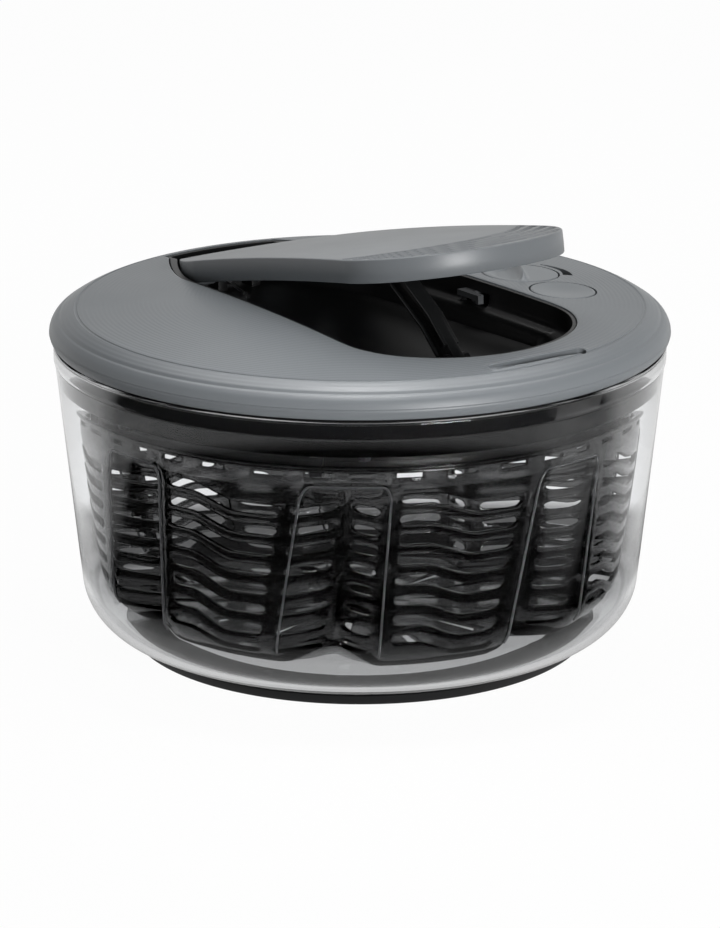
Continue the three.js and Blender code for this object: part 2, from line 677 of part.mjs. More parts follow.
const basinRoom = tongueBody(basinGrow, recessBackRadius, leverGap)
  .intersect(disc(lidRadius, trayTop, aboveEverything));
const earSlot = block([lowerPin.x - earRadius - 1, leverMiddle - earOuter - runGap, trayUnder - 1],
  [lowerPin.x + rackTravel + earRadius + 1.6, leverMiddle + earOuter + runGap, trayTop + 1]);
const shaftBoss = ring(shaftBore, shaftBore + 2.4, wheelTop + runGap, trayUnder + 0.5, 24);
const boltX = knobX - boltTravel;
const boltTop = lidHeight(Math.hypot(knobX, leverMiddle + leverWideHalf)) - boltDrop;
const boltBottom = boltTop - boltThickness;
const wallFace = leverMiddle + tongueHalf(knobX) + leverGap;
const windowPlay = 1.6;
const boltWindow = block([boltX - windowPlay, wallFace - 3, boltBottom - runGap],
  [boltX + boltArm + boltTravel + windowPlay, wallFace + trayWall + 3, boltTop + runGap]);
const hingePinReach = leverNeckHalf + leverGap + trayWall + 1;
const hingePinBore = pinAlongY(hingeX, hingeZ, hingePinRadius + seatGap,
  leverMiddle - hingePinReach, leverMiddle + hingePinReach, 16);
const trayBody = joined(trayWalls, basin, trayRim).subtract(recessRoom).subtract(basinRoom);
addPiece('recess_tray', joined(trayBody, brackets, rails, lips, shaftBoss, ...legs).subtract(joined(
  hingePinBore, earSlot, boltWindow,
  disc(shaftBore, wheelTop, trayUnder + 1, 16),
  disc(shaftBore, wheelTop, trayUnder + 1, 16).translate([transferX, transferY, 0]),
)), materials.black);

// Lever, modelled lying closed in a group that is then raised about the hinge.
const lever = new THREE.Group();
lever.position.set(hingeX, 0, hingeZ);
lever.rotation.y = -leverRaise;
spinner.add(lever);
const inLever = (body) => body.translate([-hingeX, 0, -hingeZ]);
const [knuckleFrom, knuckleTo] = knuckleSpan;
const knuckles = bothSides(knuckleFrom, knuckleTo, (from, to) => joined(
  pinAlongY(hingeX, hingeZ, knuckleRadius, from, to, 16),
  block([hingeX - knuckleRadius + 0.6, from, hingeZ], [hingeX + knuckleRadius, to, lidShoulder + 2]),
)).intersect(layer(0.3, 20));
const bracketRoom = block(
  [hingeX - 14, leverMiddle - bracketTo - runGap, hingeZ - 10],
  [hingeX + knuckleRadius + 1.6, leverMiddle + bracketTo + runGap, hingeZ + knuckleRadius + 1]);
const hookTo = boltX + boltLength;
const boltNotch = block([boltX - 3.6, wallFace - 7, hingeZ - 20],
  [hookTo + boltTravel + 4, wallFace + 3, boltTop + 1.4]);
const frameScrews = [[-70, -28], [-70, 28], [72, -28], [72, 28]].map(([x, y]) => [x, y + leverMiddle]);
const frameUnder = leverWall + seatGap + frameThickness;
const screwDepth = ([x, y]) => lidHeight(Math.hypot(x, y));
const roofHoles = frameScrews.map(([x, y]) =>
  disc(screwShank + seatGap, -frameUnder - 2, -leverWall + 1.6, 8).translate([x, y, screwDepth([x, y])]));
const shellOuter = tongueBody(0, leverBackRadius).intersect(layer(0, leverDepth));
const shellInner = tongueBody(-leverWall, leverBackRadius - leverWall).intersect(layer(leverWall, 20));
addPiece('lever_shell', inLever(shellOuter.subtract(shellInner).subtract(bracketRoom).add(knuckles)
  .subtract(joined(hingePinBore, boltNotch, ...roofHoles))), materials.grey, lever);

// Lever frame: a plate under the lever's roof with the ears for the link and the toe that the bolt catches.
const frameInset = leverWall + seatGap;
const ears = bothSides(earInner, earOuter, (from, to) => joined(
  pinAlongY(upperPinClosed.x, upperPinClosed.y, earRadius, from, to, 16),
  block([upperPinClosed.x - earRadius, from, upperPinClosed.y],
    [upperPinClosed.x + earRadius, to, lidHeight(linkPinX) - leverWall - 1]),
));
const upperPinBore = pinAlongY(upperPinClosed.x, upperPinClosed.y, linkPinRadius + seatGap,
  leverMiddle - earOuter - 1, leverMiddle + earOuter + 1, 16);
const toeTop = boltBottom - hookDrop - seatGap;
const toeBottom = toeTop - toeThickness;
const toeFrom = wallFace - 6.6;
const toeTo = wallFace - 4;
const toe = joined(
  block([hookTo + boltTravel, toeFrom, toeBottom], [hookTo + boltTravel + 2, toeTo, lidShoulder + 1.2]),
  block([hookTo + 1.5, toeFrom, toeBottom], [hookTo + boltTravel + 1, toeTo, toeTop]),
);
addPiece('lever_frame', inLever(tongueBody(-frameInset, leverBackRadius - frameInset)
  .intersect(layer(frameInset, frameUnder))
  .subtract(block([-lidRadius, -lidRadius, hingeZ - 20], [hingeX + 12, lidRadius, aboveEverything]))
  .add(joined(ears, toe).intersect(layer(frameInset, belowLid)))
  .subtract(joined(upperPinBore, ...roofHoles))), materials.black, lever);

frameScrews.forEach((place, i) => {
  const body = screw(screwHead, 1.7, screwShank, frameThickness + seatGap + 1.2);
  const at = [place[0], place[1], screwDepth(place) - frameUnder - seatGap];
  addPiece(`lever_screw_${i + 1}`, inLever(body.translate(at)), materials.steel, lever);
});
addPiece('link_pin_upper', inLever(pinAlongY(upperPinClosed.x, upperPinClosed.y, linkPinRadius,
  leverMiddle - earOuter - pinProud, leverMiddle + earOuter + pinProud, 16)), materials.steel, lever);

addPiece('hinge_pin', pinAlongY(hingeX, hingeZ, hingePinRadius, leverMiddle - knuckleTo - pinProud,
  leverMiddle + knuckleTo + pinProud, 16), materials.steel);

// A round wire along a list of points.
function wire(points, radius, steps) {
  const path = new THREE.CatmullRomCurve3(points.map((point) => new THREE.Vector3(...point)));
  const section = outline(arcPoints(0, 0, radius, 0, 2 * Math.PI, 5).slice(0, -1));
  return solid(new THREE.ExtrudeGeometry(section, { steps, bevelEnabled: false, extrudePath: path }));
}

// Lever spring: a torsion coil round the hinge pin, its legs under the lever's roof and on the tray's floor.
const coilRadius = hingePinRadius + 1.7;
const coilWire = 0.8;
const coilLeg = 15;
const coilTurns = 4;
const coilHalf = bracketFrom - coilWire - 0.6;
const coil = Array.from({ length: coilTurns * 8 + 5 }, (_, i) => {
  const angle = Math.PI / 2 + (i * Math.PI) / 4;
  const side = coilHalf - (2 * coilHalf * i) / (coilTurns * 8 + 4);
  return [hingeX + coilRadius * Math.cos(angle), leverMiddle + side, hingeZ + coilRadius * Math.sin(angle)];
});
addPiece('lever_spring', wire([
  [hingeX + coilLeg, leverMiddle + coilHalf, hingeZ + coilRadius],
  [hingeX + coilLeg * 0.4, leverMiddle + coilHalf, hingeZ + coilRadius],
  ...coil,
  [hingeX + coilLeg * 0.4, leverMiddle - coilHalf, hingeZ - coilRadius - seatGap * 2],
  [hingeX + coilLeg, leverMiddle - coilHalf, trayTop + coilWire + seatGap],
], coilWire, 44), materials.steel);

// Drive link: a kneed plate between the two pins, with a short slot round the lower one.
const along = lowerPin.clone().sub(upperPin).normalize();
const across = new THREE.Vector2(-along.y, along.x);
const linkPoint = (distance, offset) => upperPin.clone().addScaledVector(along, distance)
  .addScaledVector(across, offset).toArray();
const linkAngle = Math.atan2(along.y, along.x);
const halfWidth = linkWidth / 2;
const knee = linkLength * 0.45;
const linkShape = outline([
  linkPoint(knee, linkBend - halfWidth),
  ...arcPoints(...linkPoint(linkLength, 0), halfWidth, linkAngle - Math.PI / 2, linkAngle + Math.PI / 2, 8),
  linkPoint(knee + 2, linkBend + halfWidth), linkPoint(knee - 3, linkBend + halfWidth),
  ...arcPoints(...linkPoint(0, 0), halfWidth, linkAngle + Math.PI / 2, linkAngle + 1.5 * Math.PI, 8),
]);
const slotRadius = linkPinRadius + runGap;
const upperPinHole = linkPinRadius + seatGap;
linkShape.holes.push(
  new THREE.Path([
    ...arcPoints(...linkPoint(linkLength, 0), slotRadius, linkAngle - Math.PI / 2, linkAngle + Math.PI / 2, 6),
    ...arcPoints(...linkPoint(linkLength - linkSlot, 0), slotRadius,
      linkAngle + Math.PI / 2, linkAngle + 1.5 * Math.PI, 6),
  ].reverse().map(([x, z]) => new THREE.Vector2(x, z))),
  new THREE.Path(arcPoints(...linkPoint(0, 0), upperPinHole, 0, 2 * Math.PI, 12).slice(0, -1).reverse()
    .map(([x, z]) => new THREE.Vector2(x, z))),
);
addPiece('drive_link', plateInXZ(linkShape, leverMiddle, linkThickness), materials.black);
addPiece('link_pin_lower', pinAlongY(lowerPin.x, lowerPin.y, linkPinRadius, leverMiddle - earOuter - pinProud,
  leverMiddle + earOuter + pinProud, 16), materials.steel);

// Rack slider: runs in the tray's rails, carries the link's lower pin and drives the transfer gear.
const barFrom = transferX - rackTravel - 2 * toothPitch;
const toothCount = Math.floor((sliderFrom - 1 - barFrom) / toothPitch);
const rackTooth = (middle) => prism(outline([
  [middle - rootShare * toothPitch / 2, rackLine - dedendum - 0.5],
  [middle + rootShare * toothPitch / 2, rackLine - dedendum - 0.5],
  [middle + rootShare * toothPitch / 2, rackLine - dedendum],
  [middle + tipShare * toothPitch / 2, rackLine + addendum],
  [middle - tipShare * toothPitch / 2, rackLine + addendum],
  [middle - rootShare * toothPitch / 2, rackLine - dedendum]]), sliderBottom, sliderTop);
const firstTooth = Math.ceil((barFrom - transferX) / toothPitch) + 0.5;
const rackTeeth = Array.from({ length: toothCount }, (_, i) =>
  rackTooth(transferX + (firstTooth + i) * toothPitch));
const sliderEars = bothSides(earInner, earOuter, (from, to) => joined(
  pinAlongY(lowerPin.x, lowerPin.y, earRadius, from, to, 16),
  block([lowerPin.x - earRadius, from, sliderTop - 1], [lowerPin.x + earRadius, to, lowerPin.y]),
));
const sliderBlock = block([sliderFrom, leverMiddle - sliderHalf, sliderBottom],
  [sliderTo, leverMiddle + sliderHalf, sliderTop]);
const toothBar = block([barFrom, rackLine - dedendum - rackBar, sliderBottom],
  [sliderFrom + 1, rackLine - dedendum, sliderTop]);
addPiece('rack_slider', joined(sliderBlock, toothBar, sliderEars, ...rackTeeth).subtract(joined(
  block([sliderFrom - 1, leverMiddle - earInner, lowerPin.y - halfWidth - runGap],
    [sliderTo + 1, leverMiddle + earInner, sliderTop + 1]),
  pinAlongY(lowerPin.x, lowerPin.y, linkPinRadius + seatGap,
    leverMiddle - earOuter - 1, leverMiddle + earOuter + 1, 16),
)), materials.nylon);

// Transfer gear: a large wheel with a small pinion on top, on its own shaft.
const wheelPhase = transferAngle + Math.PI;
addPiece('transfer_gear', joined(
  prism(gearShape(wheelTeeth, shaftBore, wheelPhase), wheelBottom, wheelTop),
  prism(gearShape(pinionTeeth, shaftBore, -Math.PI / 2), wheelTop - 0.2, sliderTop),
).translate([transferX, transferY, 0]), materials.nylon);
addPiece('transfer_shaft', disc(shaftRadius, deckTop + seatGap, trayUnder + 0.7, 16)
  .translate([transferX, transferY, 0]), materials.steel);

// Centre pinion with its ratchet wheel, which turns the hub one way through three pawls.
const hubBottom = plateTop + seatGap;
const hubTop = hubBottom + hubHeight;
const ratchetTeeth = 9;
const ratchet = outline(Array.from({ length: ratchetTeeth }, (_, i) => {
  const angle = (i * 2 * Math.PI) / ratchetTeeth;
  return [[ratchetRadius * Math.cos(angle), ratchetRadius * Math.sin(angle)],
    [(ratchetRadius - 0.8) * Math.cos(angle + 0.12), (ratchetRadius - 0.8) * Math.sin(angle + 0.12)]];
}).flat());
addPiece('centre_pinion', joined(
  prism(gearShape(pinionTeeth, shaftBore, transferAngle + Math.PI / pinionTeeth), wheelBottom, wheelTop),
  prism(ratchet, hubBottom + hubFloor + seatGap, wheelBottom + 0.5)
    .subtract(disc(shaftBore, hubBottom, wheelTop, 16)),
), materials.nylon);
const pawlAngles = Array.from({ length: pawlCount }, (_, i) => (i * 2 * Math.PI) / pawlCount);
const plateScrewBores = joined(...pawlAngles.map((angle) => turnedBy(
  disc(plateScrewShank + seatGap, plateBottom - 1, hubBottom + hubFloor + 1, 8)
    .translate([plateScrewRadius, 0, 0]), angle)));
addPiece('drive_hub', turned([
  [shaftBore, hubBottom], [hubRadius, hubBottom], [hubRadius, hubTop], [hubCup, hubTop],
  [hubCup, hubBottom + hubFloor], [shaftBore, hubBottom + hubFloor],
], 24).subtract(plateScrewBores), materials.black);
pawlAngles.forEach((angle, i) => {
  const shape = outline([
    ...arcPoints(0, 0, hubCup - seatGap, angle - 0.4, angle + 0.5, 6),
    ...arcPoints(0, 0, ratchetRadius + 0.5, angle + 0.5, angle + 0.2, 2),
    ...arcPoints(0, 0, hubCup - 1, angle + 0.1, angle - 0.4, 3)]);
  addPiece(`clutch_pawl_${i + 1}`, prism(shape, hubBottom + hubFloor + seatGap, hubTop - 0.2), materials.steel);
  const plateScrew = screw(plateScrewHead, 1.3, plateScrewShank, plateThickness + seatGap + hubFloor)
    .translate([plateScrewRadius, 0, plateBottom - seatGap]);
  addPiece(`plate_screw_${i + 1}`, turnedBy(plateScrew, angle), materials.steel);
});

// Drive plate under the deck, with the fingers that turn the basket.
const fingers = fingerAngles.map((angle) => turnedBy(
  block([plateRadius - 3, -fingerWidth / 2, plateBottom - fingerDepth],
    [fingerOuter, fingerWidth / 2, plateTop]), angle));
const bossDrop = 1.7;
const plateBoss = ring(shaftBore, plateScrewRadius - plateScrewHead - seatGap, plateBottom - bossDrop,
  plateBottom + 0.5, 16);
addPiece('drive_plate', joined(ring(shaftBore, plateRadius, plateBottom, plateTop), plateBoss, ...fingers)
  .subtract(plateScrewBores), materials.black);
const clipTop = plateBottom - bossDrop - seatGap;
const shaftEnd = clipTop - clipThickness - 0.8;
addPiece('main_shaft', disc(shaftRadius, shaftEnd, trayUnder + 0.7, 16), materials.steel);
addPiece('retaining_clip', ring(shaftBore, shaftBore + 1.9, clipTop - clipThickness, clipTop, 16)
  .subtract(block([0, -1.2, shaftEnd], [10, 1.2, shaftEnd + 3])), materials.steel);

// Brake: the button's stem carries a pad down onto the drive plate, and a coil lifts it again.
addPiece('brake_button', turned([
  [0, -stemLength], [buttonStem, -stemLength], [buttonStem, -buttonThickness], [buttonRadius, -buttonThickness],
  [buttonRadius, -0.5], [buttonRadius - 0.5, 0], [buttonRadius - 1.6, 0], [buttonRadius * 0.5, -0.5], [0, -0.7],
], 24), materials.grey, buttonSeat);
addPiece('brake_pad', disc(padRadius, -stemLength - seatGap - padThickness, -stemLength - seatGap, 24),
  materials.rubber, buttonSeat);
const buttonCoil = Array.from({ length: 4 * 8 + 1 }, (_, i) => {
  const angle = (i * Math.PI) / 4;
  const from = -buttonCup + springWire + 0.2;
  const to = -buttonThickness - springWire - 0.2;
  const radius = buttonStem + 1.6;
  return [radius * Math.cos(angle), radius * Math.sin(angle), from + ((to - from) * i) / 32];
});
addPiece('button_spring', wire(buttonCoil, springWire, 30), materials.steel, buttonSeat);

// Lock: the knob turns a crank under its cup, and the crank's pin slides the bolt along X.
const crankTop = -knobCupDepth - cupWall - seatGap;
const crankThickness = 2;
const crankThrow = 6;
const gripShape = outline([[-knobRadius + 1.5, -0.4], [knobRadius - 1.5, -0.4], [knobRadius - 4, knobGrip],
  [-knobRadius + 4, knobGrip]]);
const grip = turnedBy(plateInXZ(gripShape, 0, 3.4), knobTurn);
addPiece('lock_knob', turned([
  [0, crankTop + 0.1], [knobNeck, crankTop + 0.1], [knobNeck, -knobThickness], [knobRadius, -knobThickness],
  [knobRadius, -0.5], [knobRadius - 0.5, 0], [0, 0],
], 24).add(grip), materials.grey, knobSeat);
const crankAngle = -Math.PI / 2 - Math.PI / 6;
const crankPinPlace = [crankThrow * Math.cos(crankAngle), crankThrow * Math.sin(crankAngle)];
const crankBottom = crankTop - crankThickness;
const crankPinLength = 6.4;
const crankPinRadius = 1.6;
addPiece('knob_crank', disc(8.4, crankBottom, crankTop - 0.2, 24).add(
  disc(crankPinRadius, crankBottom - crankPinLength, crankTop - 0.5, smallSides)
    .translate([...crankPinPlace, 0]))
  .subtract(disc(screwShank + seatGap, crankBottom - 1, crankTop + 1, smallSides)), materials.black, knobSeat);
addPiece('knob_screw', screw(screwHead, 1.6, screwShank, crankThickness + seatGap - 0.1)
  .translate([0, 0, crankBottom - seatGap]), materials.steel, knobSeat);

// Lock bolt: a hooked bar in the recess, an arm through the wall and a forked plate under the knob's crank.
const crankPinWorld = new THREE.Vector3(...crankPinPlace, crankBottom - crankPinLength * 0.7)
  .applyMatrix4(knobSeat.matrixWorld);
const forkTop = crankPinWorld.z + boltThickness / 2;
const forkBottom = forkTop - boltThickness;
const riserY = knobCentre[1] - knobRadius - cupWall - runGap - 0.8;
const barInner = wallFace - boltWallRoom;
const barOuter = barInner - boltWidth;
const riserInner = riserY - riserWall;
const forkHalf = crankPinRadius + 0.5;
const forkSide = 2 * crankPinRadius;
addPiece('lock_bolt', joined(
  block([boltX, barOuter, boltBottom], [hookTo, barInner, boltTop]),
  block([hookTo - hookLength, barOuter, boltBottom - hookDrop], [hookTo, barInner, boltTop]),
  block([boltX, barInner - 1, boltBottom], [boltX + boltArm, riserY, boltTop]),
  block([boltX, riserInner, forkBottom], [boltX + boltArm, riserY, boltTop]),
  block([boltX - boltArm / 2, riserInner, forkBottom],
    [boltX + 1.5 * boltArm, crankPinWorld.y + forkReach, forkTop]),
).subtract(block([crankPinWorld.x - forkHalf, crankPinWorld.y - forkSide, forkBottom - 1],
  [crankPinWorld.x + forkHalf, crankPinWorld.y + forkSide, forkTop + 1])), materials.black);

export default spinner;
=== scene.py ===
import math

import bmesh
import bpy
import numpy as np
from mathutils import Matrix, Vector


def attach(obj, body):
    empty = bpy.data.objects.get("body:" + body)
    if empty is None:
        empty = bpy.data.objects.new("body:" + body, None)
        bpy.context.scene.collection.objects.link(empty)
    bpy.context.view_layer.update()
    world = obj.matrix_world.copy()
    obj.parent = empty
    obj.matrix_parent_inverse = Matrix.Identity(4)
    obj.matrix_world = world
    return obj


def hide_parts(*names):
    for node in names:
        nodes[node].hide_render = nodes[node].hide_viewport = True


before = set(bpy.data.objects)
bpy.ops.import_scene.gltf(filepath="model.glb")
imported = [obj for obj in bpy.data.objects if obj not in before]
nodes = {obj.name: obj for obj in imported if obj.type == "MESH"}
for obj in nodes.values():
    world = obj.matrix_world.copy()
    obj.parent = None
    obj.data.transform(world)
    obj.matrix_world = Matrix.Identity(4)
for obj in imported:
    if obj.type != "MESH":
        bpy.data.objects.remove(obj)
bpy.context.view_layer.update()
print("frame loaded:", len(nodes), "nodes")

# sizes shared by the pieces, in millimetres
dome = {"shoulderRadius": 120.5, "shoulderHeight": 145.5, "rise": 4.5, "wall": 2.4}
hinge = {"x": -103.4, "z": 137.5, "raise": 12.1}
tongue = {"middle": 5.8, "neckHalf": 26, "hipX": -63, "hipHalf": 46.2, "wideX": 58.4, "wideHalf": 52,
          "tipX": 99.7, "flare": 0.085, "flarePower": 1.45, "startX": -125}
middleY = tongue["middle"]
tongueMiddle = np.array([0, middleY])


def domeZ(radius):
    # the lid's top: a paraboloid that falls by its rise between the middle and the shoulder
    return dome["shoulderHeight"] + dome["rise"] * (1 - (radius / dome["shoulderRadius"]) ** 2)


def reachOf(plan):
    # distance from the spin axis
    return np.hypot(plan[..., 0], plan[..., 1])


def onDome(plan, drop):
    # places in plan set on the lid's top, less a drop
    return np.concatenate([plan, (domeZ(reachOf(plan)) - drop)[..., None]], -1)


def smooth(value):
    # cubic step between 0 and 1
    t = np.clip(value, 0, 1)
    return t * t * (3 - 2 * t)


def unit(vectors):
    # vectors of length 1
    return vectors / np.maximum(np.linalg.norm(vectors, axis=1, keepdims=True), 1e-9)


# mesh tools
def linked(name, data):
    # an object made from its data and put in the scene
    obj = bpy.data.objects.new(name, data)
    bpy.context.scene.collection.objects.link(obj)
    return obj


def shade(obj, sharp):
    # smooth shading, with creases where faces meet at more than an angle in degrees
    obj.data.shade_smooth()
    obj.data.set_sharp_from_angle(angle=math.radians(sharp))


def objectFrom(name, points, faces, sharp=35):
    # points in millimetres become an object with its doubles merged and its normals outwards
    mesh = bpy.data.meshes.new(name)
    mesh.from_pydata((np.asarray(points, float).reshape(-1, 3) / 1000).tolist(), [], faces)
    obj = linked(name, mesh)
    work = bmesh.new()
    work.from_mesh(mesh)
    bmesh.ops.remove_doubles(work, verts=work.verts, dist=2e-6)
    bmesh.ops.dissolve_degenerate(work, edges=work.edges, dist=1e-7)
    bmesh.ops.recalc_face_normals(work, faces=work.faces)
    work.to_mesh(mesh)
    work.free()
    shade(obj, sharp)
    return obj


def pieceFrom(name, points, faces, body, material, sharp=35):
    # an object with its material that rides on a body
    obj = objectFrom(name, points, faces, sharp)
    obj.data.materials.append(material)
    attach(obj, body)
    return obj


def gridFaces(rows, columns, closeRows=False, offset=0):
    # quads of a grid whose point (row, column) has number row * columns + column; each row closes on itself
    row, column = np.meshgrid(np.arange(rows if closeRows else rows - 1), np.arange(columns), indexing="ij")
    nextRow, nextColumn = (row + 1) % rows, (column + 1) % columns
    quads = np.stack([row * columns + column, row * columns + nextColumn,
                      nextRow * columns + nextColumn, nextRow * columns + column], -1)
    return quads.reshape(-1, 4) + offset


def cappedFaces(rows, columns, offset=0):
    # the same quads, with the first and the last row filled
    last = offset + (rows - 1) * columns
    caps = [list(range(offset, offset + columns)), list(range(last, last + columns))[::-1]]
    return gridFaces(rows, columns, offset=offset).tolist() + caps


def gridPiece(name, points, body, material, slot, closeRows=False, sharp=35, keep=None):
    # a surface given as an array of rows x columns x 3; keep is an optional mask of its quads
    faces = gridFaces(*points.shape[:2], closeRows)
    if keep is not None:
        faces = faces[keep.reshape(-1)]
    return pieceFrom(name, points, faces.tolist(), body, material, sharp)


def evenAngles(count):
    # equal steps round a full turn
    return np.linspace(0, 2 * np.pi, count, endpoint=False)


def spokes(angle):
    # unit vectors in plan: cosine and sine
    return np.stack([np.cos(angle), np.sin(angle)], -1)


def turnedPoints(profile, angle):
    # each profile point (radius, height) carried round the axis: radius x cosine, radius x sine, height
    radius, height = np.asarray(profile, float).T[:, :, None]
    return np.stack([radius * np.cos(angle), radius * np.sin(angle), height + 0 * angle], -1)


def turned(name, profile, body, material, slot, count=192, place=np.asarray):
    # a closed turned piece; a profile that starts and ends on the axis closes at its poles
    points = place(turnedPoints(profile, evenAngles(count)))
    onAxis = profile[0][0] == profile[-1][0] == 0
    return gridPiece(name, points, body, material, slot, closeRows=not onAxis)


def bend(start, corner, end, steps):
    # a quadratic blend between two points that leaves and arrives along the lines to a corner
    start, corner, end = np.array([start, corner, end], float)
    t = np.linspace(0, 1, steps)[:, None]
    return (1 - t) ** 2 * start + 2 * t * (1 - t) * corner + t ** 2 * end


def rounded(corners, radii, steps=5, closed=True):
    # a polygon whose corners are blended between two points on their sides
    corners = np.asarray(corners, float)
    count = len(corners)
    radii = np.broadcast_to(radii, count)
    made = []
    for i in range(count):
        here = corners[i]
        if radii[i] == 0 or (not closed and i in (0, count - 1)):
            made.append(here[None])
            continue
        back, on = corners[i - 1] - here, corners[(i + 1) % count] - here
        backLength, onLength = np.linalg.norm(back), np.linalg.norm(on)
        cut = min(radii[i], 0.48 * backLength, 0.48 * onLength)
        made.append(bend(here + back / backLength * cut, here, here + on / onLength * cut, steps))
    return np.concatenate(made)


def outlineNormals(shape):
    # unit normals of a closed outline, square to the line between each point's neighbours
    along = np.roll(shape, -1, 0) - np.roll(shape, 1, 0)
    return unit(along[:, ::-1] * [1, -1])


def stackedPoints(shape, levels):
    # a closed outline drawn at several heights: levels are (inset towards the outline's own normal, height)
    shape = np.asarray(shape, float)
    normal = outlineNormals(shape)
    return np.stack([np.c_[shape - normal * inset, np.broadcast_to(height, len(shape))]
                     for inset, height in levels])


def solidPlate(name, shape, bottom, top, bevel, body, material, slot, place=np.asarray):
    # an outline as a plate with softened edges, closed by flat caps
    soft = bevel * 0.3
    edge = [(bevel, 0), (soft, soft), (0, bevel)]
    levels = [(inset, bottom + up) for inset, up in edge] + [(inset, top - up) for inset, up in edge[::-1]]
    points = place(stackedPoints(shape, levels))
    return pieceFrom(name, points, cappedFaces(*points.shape[:2]), body, material)


def boxShape(low, high):
    # the rectangle between two corners
    return [[low[0], low[1]], [high[0], low[1]], [high[0], high[1]], [low[0], high[1]]]


def plainBox(name, low, high, bevel, body, material, slot):
    # a box between two corners, with rounded uprights and softened edges
    shape = rounded(boxShape(low, high), bevel * 1.2, steps=3)
    return solidPlate(name, shape, low[2], high[2], bevel, body, material, slot)


def circle(radius, count=96):
    # a radius times the unit vectors at even angles
    return radius * spokes(evenAngles(count))


def standing(points):
    # a shape drawn in X and Z with its thickness along Y
    return points[..., [0, 2, 1]]


def raisedLever(points):
    # the closed lever turned up about its hinge
    angle, pivot = math.radians(hinge["raise"]), np.array([hinge["x"], 0, hinge["z"]])
    level, up = math.cos(angle), math.sin(angle)
    return (points - pivot) @ [[level, 0, up], [0, 1, 0], [-up, 0, level]] + pivot


def seatPlace(centre):
    # heights above the lid's surface at a place, square to it
    radius = math.hypot(*centre)
    slope = math.atan(2 * dome["rise"] * radius / dome["shoulderRadius"] ** 2)
    x, y = centre[0] / radius, centre[1] / radius
    outward, upward = np.array([x, y, 0]), np.array([0, 0, 1])
    normal = outward * math.sin(slope) + upward * math.cos(slope)
    downhill = outward * math.cos(slope) - upward * math.sin(slope)
    sideways = np.cross(normal, downhill)
    axes = np.stack([downhill * x - sideways * y, downhill * y + sideways * x, normal])
    return lambda points: points @ axes + [*centre, domeZ(radius)]


def cutter(name, shape, low, high, place=np.asarray):
    # an outline between two heights as a cutting body
    points = place(stackedPoints(shape, [(0, low), (0, high)]))
    return objectFrom(name, points, cappedFaces(*points.shape[:2]))


def cutWith(obj, cutters):
    # the cutters are taken out of a piece, and then removed
    for tool in cutters:
        step = obj.modifiers.new("cut", "BOOLEAN")
        step.operation, step.solver, step.object = "DIFFERENCE", "EXACT", tool
    bpy.context.view_layer.update()
    made = bpy.data.meshes.new_from_object(obj.evaluated_get(bpy.context.evaluated_depsgraph_get()))
    obj.modifiers.clear()
    obj.data = made
    for tool in cutters:
        bpy.data.objects.remove(tool)
    shade(obj, 35)


# shader tools
class Wire:
    # a socket that does arithmetic: each operator adds a Math node
    def __init__(self, paint, socket):
        self.paint, self.socket = paint, socket

    def math(self, operation, *others):
        return self.paint.node("ShaderNodeMath", {"operation": operation}, dict(enumerate((self, *others))))

    def __add__(self, other):
        return self.math("ADD", other)

    __radd__ = __add__

    def __mul__(self, other):
        return self.math("MULTIPLY", other)

    __rmul__ = __mul__

    def __sub__(self, other):
        return self.math("SUBTRACT", other)

    def __rsub__(self, other):
        return self.paint.node("ShaderNodeMath", {"operation": "SUBTRACT"}, {0: other, 1: self})

    def __truediv__(self, other):
        return self.math("DIVIDE", other)

    def clamp(self):
        return self.paint.node("ShaderNodeClamp", {}, {0: self})


class Paint:
    # a node tree under construction, for a material or the world
    def __init__(self, owner):
        owner.use_nodes = True
        self.owner, self.tree = owner, owner.node_tree
        self.tree.nodes.clear()

    def node(self, kind, settings, inputs, output=0):
        # a node with its settings and its inputs, each a link or a value
        made = self.tree.nodes.new(kind)
        for key, value in settings.items():
            setattr(made, key, value)
        for key, value in inputs.items():
            if isinstance(value, Wire):
                self.tree.links.new(value.socket, made.inputs[key])
            else:
                made.inputs[key].default_value = value
        return Wire(self, made.outputs[output]) if made.outputs else None

    def place(self):
        # the place in the object itself
        return self.node("ShaderNodeTexCoord", {}, {}, "Object")

    def noise(self, place, scale, detail):
        # smooth noise about a half
        return self.node("ShaderNodeTexNoise", {}, {"Vector": place, "Scale": scale, "Detail": detail})

    def mixColor(self, factor, first, second):
        # a colour between two
        colors = {0: factor, 6: (*first, 1), 7: (*second, 1)}
        return self.node("ShaderNodeMix", {"data_type": "RGBA"}, colors, 2)

    def wander(self, factor, color, share):
        # a colour that strays by a share to either side
        return self.mixColor(factor, [c * (1 - share) for c in color], [c * (1 + share) for c in color])

    def bump(self, height, strength, distance):
        # the normal, tilted by the slope of a height
        return self.node("ShaderNodeBump", {}, {"Height": height, "Strength": strength, "Distance": distance})

    def lengthAlong(self, vector, direction):
        # a vector's length along a direction
        return self.node("ShaderNodeVectorMath", {"operation": "DOT_PRODUCT"}, {0: vector, 1: direction}, 1)

    def fromAxis(self, place):
        # distance from the spin axis, in metres
        flat = self.node("ShaderNodeVectorMath", {"operation": "MULTIPLY"}, {0: place, 1: (1, 1, 0)})
        return self.node("ShaderNodeVectorMath", {"operation": "LENGTH"}, {0: flat}, 1)


def newPaint(name):
    # a new material, ready for its nodes
    return Paint(bpy.data.materials.new(name))


def finished(paint, color, roughness, bump, constants):
    # the material, with what varies over it and what is constant
    inputs = {"Base Color": color, "Roughness": roughness, "Normal": bump, **constants}
    shader = paint.node("ShaderNodeBsdfPrincipled", {}, inputs)
    paint.node("ShaderNodeOutputMaterial", {}, {0: shader})
    return paint.owner


